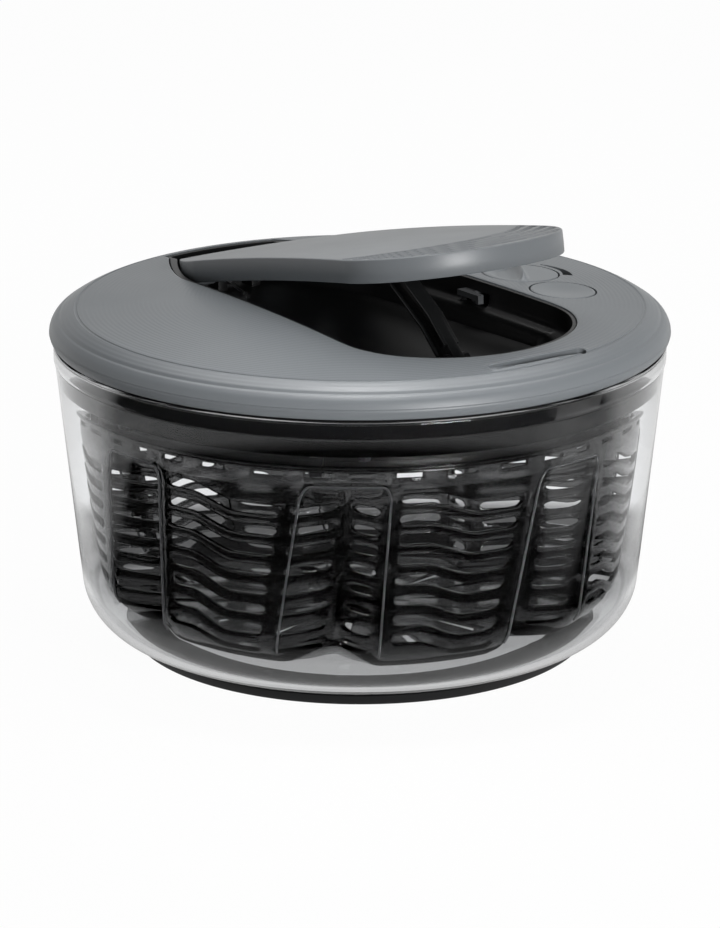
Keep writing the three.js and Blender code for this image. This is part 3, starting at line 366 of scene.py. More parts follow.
def satinPlastic(name, color, roughness, ringStrength=0.0, ringPitch=0.002, grain=0.12, sparkle=0.05,
                 specular=0.5):
    # satin plastic with a fine spark erosion grain; turned rings are a sine of the distance from the spin axis
    paint = newPaint(name)
    place = paint.place()
    cloud = paint.noise(place, 22, 3)
    fine = paint.noise(place, 1900, 2)
    speck = paint.node("ShaderNodeTexVoronoi", {"feature": "F1"}, {"Vector": place, "Scale": 1500})
    glint = ((0.16 - speck) * 9).clamp() * sparkle
    base = paint.wander(((cloud - 0.5) * 0.06 + glint + 0.5).clamp(), color, 0.1)
    if ringStrength:
        wave = (paint.fromAxis(place) * (2 * math.pi / ringPitch)).math("SINE")
        bump = paint.bump(fine * grain + wave * ringStrength, 1.0, 0.00004)
    else:
        bump = paint.bump(fine, grain, 0.0001)
    return finished(paint, base, (cloud - 0.5) * 0.12 + roughness, bump, {"Specular IOR Level": specular})


def glossPlastic(name, color, roughness, ior=1.5):
    # moulded gloss: slow waviness in the bump and faint handling haze in the roughness
    paint = newPaint(name)
    place = paint.place()
    fine = paint.noise(place, 300, 3)
    bump = paint.bump(paint.noise(place, 14, 1), 0.12, 0.0012)
    return finished(paint, paint.wander(fine, color, 0.2), fine * 0.06 + roughness, bump, {"IOR": ior})


def clearPlastic(name):
    # nearly colourless, with slow waviness and a trace of haze
    paint = newPaint(name)
    place = paint.place()
    haze = paint.noise(place, 60, 3)
    bump = paint.bump(paint.noise(place, 9, 1), 0.05, 0.001)
    base = paint.mixColor(haze, (0.93, 0.94, 0.95), (0.97, 0.975, 0.98))
    return finished(paint, base, haze * 0.02, bump, {"IOR": 1.49, "Transmission Weight": 1.0})


def smokePlastic(name, tint):
    # dark clear plastic: each face that it is seen through takes its share of the light
    paint = newPaint(name)
    place = paint.place()
    haze = paint.noise(place, 220, 3)
    bump = paint.bump(paint.noise(place, 18, 1), 0.12, 0.0012)
    base = paint.wander(haze, (tint, tint, tint), 0.15)
    return finished(paint, base, haze * 0.05 + 0.06, bump, {"IOR": 1.49, "Transmission Weight": 1.0})


def rubber(name):
    # dull black with a fine grain
    paint = newPaint(name)
    fine = paint.noise(paint.place(), 900, 3)
    base = paint.mixColor(fine, (0.006, 0.006, 0.0065), (0.014, 0.014, 0.015))
    bump = paint.bump(fine, 0.25, 0.0001)
    return finished(paint, base, fine * 0.1 + 0.5, bump, {"Specular IOR Level": 0.12})


def steel(name):
    # drawn steel: noise stretched along the wire
    paint = newPaint(name)
    stretched = paint.node("ShaderNodeMapping", {}, {"Vector": paint.place(), "Scale": (300, 300, 2400)})
    lines = paint.noise(stretched, 1, 2)
    base = paint.mixColor(lines, (0.42, 0.42, 0.43), (0.6, 0.6, 0.61))
    return finished(paint, base, lines * 0.15 + 0.22, paint.bump(lines, 0.15, 0.0001), {"Metallic": 1.0})


lidGrey = (0.185, 0.2, 0.213)
lidSatin = satinPlastic("lidSatin", lidGrey, 0.4, ringStrength=0.6)
# the lever's plastic is the lid's grey darkened: painted shade for the raised lever
leverSatin = satinPlastic("leverSatin", [c * 0.78 for c in lidGrey], 0.38, grain=0.08)
knobSatin = satinPlastic("knobSatin", [c * 1.1 for c in lidGrey], 0.4)
recessBlack = satinPlastic("recessBlack", (0.006, 0.0062, 0.0065), 0.42, sparkle=0.0, specular=0.45)
linkBlack = satinPlastic("linkBlack", (0.012, 0.0125, 0.013), 0.3, sparkle=0.0)
skirtBlack = glossPlastic("skirtBlack", (0.004, 0.004, 0.0042), 0.1, ior=1.3)
boltGrey = satinPlastic("boltGrey", (0.075, 0.078, 0.082), 0.4, sparkle=0.0)
smokeClear = smokePlastic("smokeClear", 0.1)
# a lighter grey for the channel beads: a painted highlight along the channels' edges
smokeEdge = glossPlastic("smokeEdge", (0.15, 0.15, 0.155), 0.2)
mechanismBlack = satinPlastic("mechanismBlack", (0.01, 0.01, 0.011), 0.4, sparkle=0.0)
nylonWhite = satinPlastic("nylonWhite", (0.62, 0.61, 0.57), 0.4, sparkle=0.0)
footRubber = rubber("footRubber")
pinSteel = steel("pinSteel")
bowlClear = clearPlastic("bowlClear")
print("materials made")

# bowl and foot
bowl = {"bottom": 5.2, "wall": 3, "rim": 130.3, "shoulder": 119.9, "corner": 24, "draft": 0.1, "top": 130.4,
        "band": 7.5, "spindle": 3.2, "spindleTop": 25.5, "cone": 9, "coneRise": 4}
foot = {"inner": 84, "outer": 98, "lip": 102, "lipTop": 5.6, "top": 4.9}


def bowlProfile():
    # foot, corner arc, tapering wall and rim band outside, and the same inside, down to the spindle
    wall, rim, top = bowl["wall"], bowl["rim"], bowl["top"]
    flat = bowl["shoulder"] - bowl["corner"]
    centre = [flat, bowl["bottom"] + bowl["corner"]]
    arc = spokes(np.linspace(-np.pi / 2, -bowl["draft"], 24))
    bandZ = top - bowl["band"]
    band = rounded([[rim - 0.6, bandZ], [rim, bandZ + 1], [rim, top], [rim - wall, top], [rim - wall, bandZ]],
                   [0.5, 0.5, 0.9, 0.9, 3], closed=False)
    floor = bowl["bottom"] + wall
    cone, coneTop, pin, pinTop = bowl["cone"], floor + bowl["coneRise"], bowl["spindle"], bowl["spindleTop"]
    spindle = rounded([[cone, floor], [pin + 1, coneTop], [pin, coneTop], [pin, pinTop], [0, pinTop]],
                      [2, 0.3, 0.3, 1, 0], closed=False)
    under = [[0, bowl["bottom"]], [flat * 0.5, bowl["bottom"]]]
    inner = centre + arc[::-1] * (bowl["corner"] - wall)
    return np.concatenate([under, centre + arc * bowl["corner"], band, inner,
                           [[flat * 0.6, floor], [cone + 3, floor]], spindle])


bowlShell = turned("bowlShell", bowlProfile(), "bowl", bowlClear, "bowl", 256)
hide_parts("bowl")
footProfile = rounded([[foot["inner"], 0], [foot["outer"], 0], [foot["lip"], foot["lipTop"]],
                       [foot["lip"] - 3, foot["top"]], [foot["inner"], foot["top"]]],
                      [0.5, 1.5, 0.4, 0.3, 0.5])
footRing = turned("footRing", footProfile, "bowl", footRubber, "rubber", 256)
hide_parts("non_slip_ring")
print("bowl made")

# basket; its angles are in degrees
basket = {"bottom": 16.5, "collar": 99.6, "ceiling": 101, "top": 110, "radius": 115, "depth": 17, "lobes": 7,
          "turn": -38.5, "mouth": 10.25, "soften": 0.9, "lean": 5, "widen": 1.2, "taper": 6, "foot": 12,
          "floorRise": 3.5, "wall": 2, "rows": 8, "pitch": 9, "flankRow": 89.3, "step": 6.3,
          "ramp": (18.6, 28.4), "waveFrom": 8.3, "arch": 8, "foldRows": (0, 0.4, 1.2, 2.4, 3.9, 5.6),
          "collarRows": (93, 94.6, 96, 97.2, 98.2, 99, 99.7, 100.3, 100.7, 101, 102.5, 104.9, 107.1, 108),
          "collarSlots": 104.9, "collarCount": 5, "collarWide": 5.6}
# openings between two places in degrees from a channel's middle: columns, half height, length of the tips
openings = [{"from": -11.2, "to": -1.5, "columns": 14, "half": 2.0, "tip": 2.2},
            {"from": 1.8, "to": 8.3, "columns": 12, "half": 2.0, "tip": 4.5},
            {"from": 12.3, "to": 37.5, "columns": 32, "half": 2.35, "tip": 3.0}]
bead = {"radius": 0.5, "sides": 8, "low": 25, "steps": 40, "across": 12, "sink": 0.1}
lobe = 360 / basket["lobes"]


def basketColumns():
    # places round one lobe in degrees, with each one's half opening and the number of the slot that it lies in
    angles, opening, kind = [], [], []
    for number, slot in enumerate(openings):
        t = np.linspace(0, 1, slot["columns"])
        t = 0.6 * t + 0.4 * smooth(t)
        angles.append(slot["from"] + (slot["to"] - slot["from"]) * t)
        fromEnd = np.minimum(t, 1 - t) * np.radians(slot["to"] - slot["from"]) * basket["radius"]
        bulge = np.sqrt(np.clip(1 - (1 - np.clip(fromEnd / slot["tip"], 0, 1)) ** 2, 0.02, 1))
        opening.append(slot["half"] * bulge)
        kind.append(np.full(slot["columns"], number))
        following = openings[number + 1]["from"] if number < 2 else openings[0]["from"] + lobe
        angles.append(np.linspace(slot["to"], following, 4)[1:-1])
        opening.append(np.full(2, 0.9))
        kind.append(np.full(2, -1))
    return np.concatenate(angles), np.concatenate(opening), np.concatenate(kind)


def archAt(height):
    # how far a channel is open: a quarter circle that closes it under the collar
    return np.sqrt(1 - (1 - np.clip((basket["ceiling"] - height) / basket["arch"], 0, 1)) ** 2)


def mouthAt(height):
    # half of a channel's mouth in degrees, which narrows over the arch
    return basket["mouth"] * (0.8 + 0.2 * archAt(height))


def basketRadiusAt(phi, height):
    # full radius less a V channel with soft edges, less taper and foot
    away = np.abs((phi + lobe / 2) % lobe - lobe / 2)
    soft = basket["soften"]
    fall = 1 - (np.hypot(away, soft) - soft) / (np.hypot(mouthAt(height), soft) - soft)
    channel = 0.5 * (fall + np.hypot(fall, 0.06)) * archAt(height)
    up = height - basket["bottom"]
    taper = basket["taper"] * np.clip(1 - up / (basket["collar"] - basket["bottom"]), 0, 1)
    fold = np.clip(1 - up / (basket["foot"] * 1.2), 0, 1)
    return basket["radius"] - basket["depth"] * channel - taper - basket["foot"] * fold ** 2


def basketTheta(phi, height, first):
    # angle round the basket in radians: the channels lean and widen downwards
    down = (basket["ceiling"] - height) / (basket["ceiling"] - basket["bottom"])
    widen = basket["widen"] * (2 * down - 1) * np.sin(np.radians(phi * basket["lobes"]))
    return np.radians(basket["turn"] + first + phi + widen - basket["lean"] * down)


def basketSurface():
    # rows of the wall follow the slots' edges: two rows for each slot, spread by its opening, and one between;
    # a panel's slot is level, falls over the ramp, and is level again
    angles, opening, kind = basketColumns()
    phi, opening, kind = [np.tile(values, basket["lobes"]) for values in (angles, opening, kind)]
    rampFrom, rampTo = basket["ramp"]
    fall = np.clip((phi - rampFrom) / (rampTo - rampFrom), 0, 1)
    wave = basket["step"] * (smooth((phi - basket["waveFrom"]) / 4) - 0.5 * (fall + smooth(fall)))
    heights = [np.full(len(phi), basket["bottom"] + up) for up in basket["foldRows"]]
    # what a row's quads may be cut by: 0 nothing, 1 the slots, 2 the collar's slots, 3 the floor's
    cutBy = [0] * len(heights)
    for k in range(basket["rows"])[::-1]:
        shape = basket["flankRow"] - basket["pitch"] * k + wave
        heights += [shape - opening, shape + opening]
        cutBy += [1, 0]
        if k:
            heights.append(shape + basket["pitch"] / 2)
            cutBy.append(0)
    for up in basket["collarRows"]:
        heights.append(np.maximum(up, heights[-1] + 0.3))
        cutBy.append(2 if up == basket["collarSlots"] else 0)
    heights = np.array(heights)
    radius = basketRadiusAt(phi, heights)
    shares = np.array([0.1, 0.2, 0.36, 0.6, 0.75, 0.86, 0.96])[:, None]
    floorRadius = radius[:1] * shares + basket["floorRise"] * (1 - shares)
    radius = np.concatenate([floorRadius, radius])
    heights = np.concatenate([np.full(floorRadius.shape, basket["bottom"]), heights])
    cutBy = np.array([0, 0, 3, 3, 3, 0, 0] + cutBy)
    first = np.repeat(np.arange(basket["lobes"]) * lobe, len(angles))
    theta = basketTheta(phi, heights, first)
    points = np.concatenate([radius[..., None] * spokes(theta), heights[..., None]], -1)
    inSlot = (kind >= 0) & (kind == np.roll(kind, -1))
    inCollar = (first + phi) % (lobe / basket["collarCount"]) < basket["collarWide"]
    inFloor = (np.abs(phi - lobe / 2) < 2.4) | (np.abs(phi) < 2.6)
    nothing = np.zeros(len(phi), bool)
    return points, ~np.stack([nothing, inSlot, inCollar, inFloor])[cutBy[:-1]]


def channelBeads():
    # a round bead up one edge of each channel, over its arch and down the other edge
    rise = np.sin(np.linspace(0, 1, bead["steps"]) * np.pi / 2)
    heights = bead["low"] + (basket["ceiling"] - bead["low"]) * rise
    half = mouthAt(heights)
    across = np.linspace(-1, 1, bead["across"] + 2)[1:-1] * half[-1]
    phi = np.concatenate([-half, across, half[::-1]])
    height = np.concatenate([heights, np.full(bead["across"], basket["ceiling"]), heights[::-1]])
    reach = basketRadiusAt(12, height) - bead["sink"]
    around = evenAngles(bead["sides"])[:, None, None]
    made = []
    for number in range(basket["lobes"]):
        theta = basketTheta(phi, height, number * lobe)
        path = np.c_[reach[:, None] * spokes(theta), height]
        ahead = unit(np.gradient(path, axis=0))
        aside = unit(np.cross(ahead, np.c_[spokes(theta), 0 * theta]))
        ring = bead["radius"] * (np.cos(around) * np.cross(aside, ahead) + np.sin(around) * aside)
        made.append((path + ring).transpose(1, 0, 2))
    return np.stack(made)


basketLook = ("basket", smokeClear, "basket")
points, keep = basketSurface()
basketShell = gridPiece("basketShell", points, *basketLook, keep=keep, sharp=50)
thicken = basketShell.modifiers.new("wall", "SOLIDIFY")
thicken.thickness, thicken.offset, thicken.use_even_offset = basket["wall"] / 1000, -1, False
soften = basketShell.modifiers.new("edges", "BEVEL")
soften.width, soften.segments, soften.limit_method, soften.angle_limit = 0.00035, 2, "ANGLE", math.radians(50)
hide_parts("basket")
points = channelBeads()
rows, sides = points.shape[1:3]
beadFaces = sum((cappedFaces(rows, sides, i * rows * sides) for i in range(basket["lobes"])), [])
# the beads' lighter grey paints highlight lines along the channels' edges
pieceFrom("channelBeads", points, beadFaces, "basket", smokeEdge)
lipProfile = rounded([[112.6, 107.6], [114.9, 107.6], [114.9, 108], [116.5, 108.2], [116.5, basket["top"]],
                      [112.6, basket["top"]]], [0.1, 0.1, 0.1, 0.7, 0.7, 0.7])
turned("basketLip", lipProfile, *basketLook, 256)
hubProfile = rounded([[0, 27.9], [5.7, 27.9], [5.7, basket["bottom"]], [13, basket["bottom"]],
                      [13, basket["bottom"] + 2], [7.9, 21.5], [7.9, 30.2], [0, 30.2]],
                     [0, 0.4, 0.4, 0.4, 0.4, 1.5, 0.8, 0])
turned("basketHub", hubProfile, *basketLook, 64)
print("basket made")


# lid
def tongueOutline(grow, backRadius, neckGrow=None, count=720):
    # the lever's plan as distances from the middle at even angles: a waist, straight sides, an elliptical end
    # and an arc at the back
    neckGrow = grow if neckGrow is None else neckGrow
    x = np.linspace(tongue["startX"], tongue["wideX"], 1500)
    shifted = x + 2 * grow
    behind, ahead = np.maximum(0, tongue["hipX"] - shifted), np.maximum(0, shifted - tongue["hipX"])
    flare = tongue["hipHalf"] - tongue["flare"] * behind ** tongue["flarePower"]
    widen = (tongue["wideHalf"] - tongue["hipHalf"]) * ahead / (tongue["wideX"] - tongue["hipX"])
    half = np.maximum(flare + widen + grow, tongue["neckHalf"] + neckGrow)
    half = np.minimum(half, tongue["wideHalf"] + grow)
    t = np.linspace(0, np.pi / 2, 700)[1:]
    endX = tongue["wideX"] + np.sin(t) * (tongue["tipX"] + grow - tongue["wideX"])
    upper = np.c_[np.r_[x, endX], np.r_[half, np.cos(t) * (tongue["wideHalf"] + grow)]]
    loop = np.concatenate([upper, (upper * [1, -1])[::-1][1:]])
    angle = np.arctan2(loop[:, 1], loop[:, 0])
    order = np.argsort(angle)
    even = evenAngles(count) - np.pi
    reach = np.interp(even, angle[order], reachOf(loop)[order], period=2 * np.pi)
    # the back arc about the spin axis, seen from the tongue's own middle
    side = middleY * np.sin(even)
    back = -side + np.sqrt(backRadius ** 2 - middleY ** 2 + side ** 2)
    reach = np.where(np.cos(even) < 0, np.minimum(reach, back), reach)
    return reach[:, None] * spokes(even) + tongueMiddle


def offsetRows(shape, levels):
    # outline rows at a distance inside the outline and a depth under the dome
    away = shape - tongueMiddle
    reach = np.linalg.norm(away, axis=1, keepdims=True)
    facing = np.clip((outlineNormals(shape) * away / reach).sum(1, keepdims=True), 0.35, 1)
    return np.stack([onDome(tongueMiddle + away * np.maximum(0.02, 1 - inset / facing / reach), depth)
                     for inset, depth in levels])


def shrunk(plan, shares):
    # an outline shrunk towards the tongue's middle, one row for each share of its size
    return tongueMiddle + (plan - tongueMiddle) * np.reshape(shares, (-1, 1, 1))


lid = {"holeGrow": 2.9, "holeBack": 118.4, "edge": 0.45, "rows": 30, "radius": 132, "bottom": 132}
pour = {"x": 114.5, "length": 49, "half": 2.6, "depth": 2.3, "fall": 1.7, "endFall": 3.5, "bead": 0.45,
        "beadGap": 0.7, "beadWide": 0.75, "beadLimit": 119}
knob = {"centre": (6.6, 81.2), "radius": 16.5, "turn": 151.6, "grip": 3.2, "gripHalf": 1.5, "bow": 1.2,
        "scoop": 1.3, "arc": 20.6, "arcWidths": (4.4, 1.2), "arcSpan": 64, "cup": 5.3, "neck": 5.6}
button = {"centre": (39.6, 78.5), "radius": 14.0, "dish": 0.75, "stem": 4.5, "stemLow": -27.3, "cup": 12,
          "neck": 5.1, "deckHole": 6.5}
controlGap = 0.7


def pourLift(plan):
    # a fine raised bead round the pour slot: a bell of the distance from the slot's edge
    beyond = np.maximum(0, np.abs(plan[..., 1] - middleY) - (pour["length"] / 2 - pour["half"]))
    distance = np.hypot(plan[..., 0] - pour["x"], beyond) - pour["half"] - pour["beadGap"]
    lift = pour["bead"] * np.exp(-(distance / pour["beadWide"]) ** 2)
    return lift * (reachOf(plan) < pour["beadLimit"])


def rimProfile():
    # a fine groove, a convex slope, a step, the brow, a crease, the lip, and back up inside
    radius, low = lid["radius"], lid["bottom"]
    return np.concatenate([
        [(119.9, 145.54), (120.2, 145.12), (120.6, 145.0), (121.0, 145.08)],
        bend((121.4, 145.32), (123.85, 144.5), (127.2, 142.38), 6),
        [(127.5, 141.9), (127.9, 141.62)],
        bend((128.5, 141.5), (130.98, 140.1), (131.85, 136.7), 7),
        [(131.72, 136.4), (131.9, 136.05)],
        bend((radius, 135.4), (131.45, 132.65), (130.2, low), 5),
        [(128.6, low), (128.15, 132.4), (128.2, 136), (127, 139), (125.4, 140.4), (119.5, 142.9)]])


def lidSurface():
    # a ring of rows: up the recess's edge, over the dome, round the rim, and back under the dome
    hole = tongueOutline(lid["holeGrow"], lid["holeBack"])
    angle = np.arctan2(hole[:, 1], hole[:, 0])
    edge = lid["edge"]
    inner = offsetRows(hole, [(0, dome["wall"]), (0, edge * 1.2), (-edge * 0.12, edge * 0.5),
                              (-edge * 0.4, edge * 0.16), (-edge, 0)])
    rim = turnedPoints(rimProfile(), angle)
    start, end = inner[-1, :, :2], rim[0, :, :2]
    share = np.linspace(0, 1, lid["rows"] + 1)[1:-1, None, None]
    plan = start * (1 - share) + end * share
    back = np.array([0.25, 0.5, 0.75])[:, None, None]
    under = end * 0.99 * (1 - back) + start * back
    return np.concatenate([inner, onDome(plan, -pourLift(plan)), rim, onDome(under, dome["wall"])])


def pourCutter():
    # a slot along Y with round ends; its floor falls outwards and towards one end
    t = np.linspace(0, np.pi, 16)
    half, length = pour["half"], pour["length"]
    end = half * spokes(t) + [0, length / 2 - half]
    shape = np.concatenate([end, -end]) + [pour["x"], middleY]
    across, along = (shape - [pour["x"], middleY]).T / [[half], [length]]
    top = domeZ(pour["x"])
    floor = top - pour["depth"] - pour["fall"] * across - pour["endFall"] * np.clip((along - 0.3) / 0.2, 0, 1)
    return cutter("cutPour", shape, floor, top + 4)


def arcCutter():
    # a curved slot that narrows: out along the larger arc and back along the smaller
    middle = math.atan2(knob["centre"][1], knob["centre"][0])
    span = math.radians(knob["arcSpan"])
    arc = spokes(np.linspace(middle - span / 2, middle + span / 2, 24))
    half = np.linspace(*knob["arcWidths"], 24)[:, None] / 2
    shape = np.concatenate([arc * (knob["arc"] + half), (arc * (knob["arc"] - half))[::-1]])
    return cutter("cutArc", shape, -8, 6, seatPlace(knob["centre"]))


lidCover = gridPiece("lidCover", lidSurface(), "lid", lidSatin, "lid_grey", closeRows=True)
controlCutters = [cutter(name, circle(control["radius"] + controlGap), -12, 6, seatPlace(control["centre"]))
                  for name, control in (("cutKnob", knob), ("cutButton", button))]
cutWith(lidCover, [*controlCutters, arcCutter(), pourCutter()])
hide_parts("lid_cover")
print("lid cover made:", len(lidCover.data.polygons), "faces")

deck = {"low": 115, "top": 117.4, "bore": 9}
skirtProfile = rounded([[deck["bore"], deck["low"]], [121.8, deck["low"]], [121.8, 132.5], [127.9, 132.5],
                        [127.9, 134.1], [119.2, 134.1], [119.2, deck["top"]], [deck["bore"], deck["top"]]],
                       [0.3, 1.4, 0.4, 0.4, 0.4, 0.6, 1, 0.3])
lidSkirt = turned("lidSkirt", skirtProfile, "lid", skirtBlack, "lid_black", 256)
# the button's stem passes through the deck
stemEnd = seatPlace(button["centre"])(np.array([0, 0, button["stemLow"]]))
cutWith(lidSkirt, [cutter("cutDeck", circle(button["deckHole"], 48) + stemEnd[:2], deck["low"] - 2,
                          deck["top"] + 2.1)])
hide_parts("lid_base")
sealProfile = rounded([[122.1, 130.9], [124.4, 130.7], [124.4, 123.2], [126.9, 123.2], [126.9, 130.7],
                       [127.8, 130.7], [127.8, 132.2], [122.1, 132.2]],
                      [0.3, 0.4, 0.9, 0.9, 0.3, 0.3, 0.3, 0.3])
sealRing = turned("sealRing", sealProfile, "lid", footRubber, "rubber", 256)
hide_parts("lid_seal")
# the drive plate's downturned edge
plateProfile = rounded([[105.6, 106], [108, 106], [108, 111.6], [105.6, 111.6]], 0.5)
turned("plateRim", plateProfile, "drive", mechanismBlack, "frame_black")


def tubes(name, places, inner, outer, low, high, body, material, slot):
    # upright tubes between two heights at several places, as one piece
    ring = turnedPoints([(inner, low), (outer, low), (outer, high), (inner, high)], evenAngles(20))
    rows, columns = ring.shape[:2]
    points = ring + np.c_[places, np.zeros(len(places))][:, None, None]
    faces = [gridFaces(rows, columns, True, i * rows * columns) for i in range(len(places))]
    return pieceFrom(name, points, np.concatenate(faces).tolist(), body, material)


# bosses under the cover for its screws, and the cups under the two controls
boss = {"circle": 115, "angles": (35, 92, 140, 220, 268, 325), "bore": 1.6, "radius": 3.6, "gap": 2.2,
        "lift": 0.3}
tubes("lidBosses", boss["circle"] * spokes(np.radians(boss["angles"])), boss["bore"], boss["radius"],
      deck["top"] + boss["lift"], domeZ(boss["circle"]) - boss["gap"], "lid", lidSatin, "lid_grey")
for label, control in (("knobCup", knob), ("buttonCup", button)):
    inside, depth, neck = control["radius"] + 0.6, control["cup"], control["neck"]
    outside, low = inside + 2.1, -depth - 2.1
    profile = rounded([[neck, low], [outside, low], [outside, -1.6], [inside, -1.6], [inside, -depth],
                       [neck, -depth]], 0.2)
    turned(label, profile, "lid", mechanismBlack, "lid_grey", 64, seatPlace(control["centre"]))
print("lid made")

# recess under the lever
recess = {"grow": 1.0, "wall": 1.6, "back": 116.5, "basin": -5.0, "floor": 130.0, "under": 127.6}
recessLook = ("lid", recessBlack, "recess_black")
bracket = {"radius": 4.2, "low": 129.8, "from": 6.5, "to": 11.4}
rail = {"start": 50.9, "end": 87.4, "low": 121.2, "high": 127.7, "lipHigh": 122.6, "side": (7.6, 9.6),
        "lip": (5.6, 9.0)}


def flatRows(plan, steps):
    # an outline shrunk to shares of its size, each at its own height
    shares, heights = np.array(steps).T
    rows = shrunk(plan, shares)
    return np.concatenate([rows, heights[:, None, None] + 0 * rows[..., :1]], -1)


def traySurface():
    # outside up to the wall's top, down to the ledge, over its rounded edge, down the basin to the middle
    # of its floor, and back underneath
    grow, wall, back, basin = (recess[key] for key in ("grow", "wall", "back", "basin"))
    wallOut, wallIn = tongueOutline(grow + wall, back + wall), tongueOutline(grow, back)
    basinIn = tongueOutline(basin, back, grow)
    basinOut = tongueOutline(basin + wall, back + wall, grow + wall)
    ledge = offsetRows(basinIn, [(-2.0, 11.0), (-0.9, 11.6), (-0.1, 12.8), (0.5, 15)])
    floor, under = recess["floor"], recess["under"]
    return np.concatenate([
        offsetRows(wallOut, [(0, 13), (0, 0.7), (0.2, 0.5)]),
        offsetRows(wallIn, [(-0.2, 0.5), (0, 0.7), (0, 7.4), (0.25, 8.9), (1.0, 10.0), (2.0, 10.5)]),
        ledge,
        flatRows(ledge[-1, :, :2], [(0.992, floor + 1.6), (0.975, floor + 0.4), (0.95, floor), (0.7, floor),
                                    (0.35, floor), (0.0, floor)]),
        flatRows(basinOut, [(0.0, under), (0.5, under), (0.98, under), (1.0, under + 0.8)]),
        offsetRows(basinOut, [(0, 14.5)])])


trayShell = gridPiece("trayShell", traySurface(), *recessLook, closeRows=True, sharp=40)
cutWith(trayShell, [cutter("cutEars", boxShape((54.5, -0.9), (79.2, 12.5)), 120, 132),
                    cutter("cutWindow", boxShape((-1, 52.9), (16.2, 61.3)), 138, 143.9)])
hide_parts("recess_tray")
for side, label in ((-1, "A"), (1, "B")):
    low, high = sorted((middleY + side * bracket["from"], middleY + side * bracket["to"]))
    shape = np.concatenate([circle(bracket["radius"], 24)[:13] + [hinge["x"], hinge["z"]],
                            [[hinge["x"] - bracket["radius"], bracket["low"]],
                             [hinge["x"] + bracket["radius"], bracket["low"]]]])
    solidPlate("hingeBracket" + label, shape, low, high, 0.4, *recessLook, standing)
    for name, span, top in (("rail", rail["side"], rail["high"]), ("railLip", rail["lip"], rail["lipHigh"])):
        low, high = sorted(middleY + side * np.array(span))
        plainBox(name + label, (rail["start"], low, rail["low"]), (rail["end"], high, top), 0.3, *recessLook)
# a small stop on the recess's near edge
plainBox("recessNub", (17.6, -46.6, 143.5), (25.6, -44.6, 147.0), 0.6, *recessLook)
tubes("trayLegs", [(-80, -16.2), (-80, 27.8), (62, -30.2), (68, 37.8)], 1.0, 3.0, deck["top"] + boss["lift"],
      recess["under"] + 0.4, *recessLook)
tubes("shaftBoss", [(0, 0)], 2.8, 5.2, 122.6, recess["under"] + 0.5, *recessLook)
print("recess made")

# lever
lever = {"back": 107.5, "wall": 2.4, "steps": (70, 75.5, 81, 86.5, 92), "stepDepth": 0.7, "stepWidth": 1.0,
         "stepFrom": 34, "knuckle": (12, 24), "notch": ((-3, 49.3), (25.6, 59.3))}
leverLook = ("lever", leverSatin, "lever_grey")


def leverSteps(plan):
    # shallow terraces round the spin axis: each step drops over a short ramp and rises again over a long one
    past = reachOf(plan)[..., None] - np.array(lever["steps"])
    width = lever["stepWidth"]
    drop = lever["stepDepth"] * smooth(past / width) * (1 - smooth((past - width) / 4))
    return drop.sum(-1) * smooth((plan[..., 0] - lever["stepFrom"]) / 16)


def leverSurface():
    # from the middle of the top out to its edge, down the skirt, and back up inside to the roof's middle
    outer = tongueOutline(0, lever["back"], count=900)
    edge = offsetRows(outer, [(0.9, 0), (0.45, 0.06), (0.12, 0.28), (0, 0.75), (0, 5), (0.15, 9.2), (0.5, 9.7),
                              (0.9, 9.8), (2.0, 9.8), (2.4, 9.4), (2.4, 4), (2.5, 3), (3.2, 2.4)])
    plan = shrunk(edge[0, :, :2], np.r_[0.0, np.linspace(0.03, 1, 66)[:-1]])
    roof = onDome(shrunk(edge[-1, :, :2], [0.7, 0.35, 0.0]), lever["wall"])
    return np.concatenate([onDome(plan, leverSteps(plan)), edge, roof])


leverShell = gridPiece("leverShell", raisedLever(leverSurface()), *leverLook, sharp=40)
# the lock bolt enters through a notch in the lever's skirt
cutWith(leverShell, [cutter("cutBolt", boxShape(*lever["notch"]), 117.5, 145.3, raisedLever)])
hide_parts("lever_shell")
for side, label in ((-1, "A"), (1, "B")):
    low, high = sorted(middleY + side * np.array(lever["knuckle"]))
    eye = bracket["radius"]
    shape = np.concatenate([circle(eye, 24)[12:], [[eye, 0], [eye, 7.1], [-3.6, 7.1]]])
    solidPlate("leverKnuckle" + label, shape + [hinge["x"], hinge["z"]], low, high, 0.4, *leverLook,
               lambda p: raisedLever(standing(p)))
print("lever made")

# link; its upper pin is a place in X and Z in the closed lever
link = {"pin": (19.7, 137.28), "length": 53, "lowerZ": 131.7, "width": 9, "bend": 1.8, "thickness": 5,
        "flange": 1.3, "flangeWidth": 7.6, "knee": 0.58}
linkLook = ("link", linkBlack, "link_black")


def linkPlaced(points):
    # points given along and off the line between the pins, turned and moved to X and Z
    upper = raisedLever(np.array([link["pin"][0], middleY, link["pin"][1]]))[[0, 2]]
    fall = (upper[1] - link["lowerZ"]) / link["length"]
    level = math.sqrt(1 - fall ** 2)
    return upper + points @ np.array([[level, -fall], [fall, level]])


def linkEdge(off, start, end):
    # beside the line between the pins, with a knee that stands off it
    length = link["length"]
    return np.array([(start, off), (length * link["knee"], link["bend"] + off), (length - end, off)])


def linkShape():
    # two edges with a rounded knee, and half circles about the pins
    half = link["width"] / 2
    below, above = [rounded(linkEdge(off, 2, 2), 3, closed=False) for off in (-half, half)]
    arc = half * spokes(np.linspace(-np.pi / 2, np.pi / 2, 14))
    return linkPlaced(np.concatenate([below, arc + [link["length"], 0], above[::-1], -arc]))


def flangeShape(side):
    # a strip along one edge of the bar, over its knee
    outside = side * link["width"] / 2
    inside = outside - side * link["flange"]
    strip = np.concatenate([linkEdge(outside, 5, 7), linkEdge(inside, 5, 7)[::-1]])
    return linkPlaced(strip[::-side])


def linkPlate(name, shape, width):
    # an outline in X and Z as a plate about the lever's middle plane
    return solidPlate(name, shape, middleY - width / 2, middleY + width / 2, 0.3, *linkLook, standing)


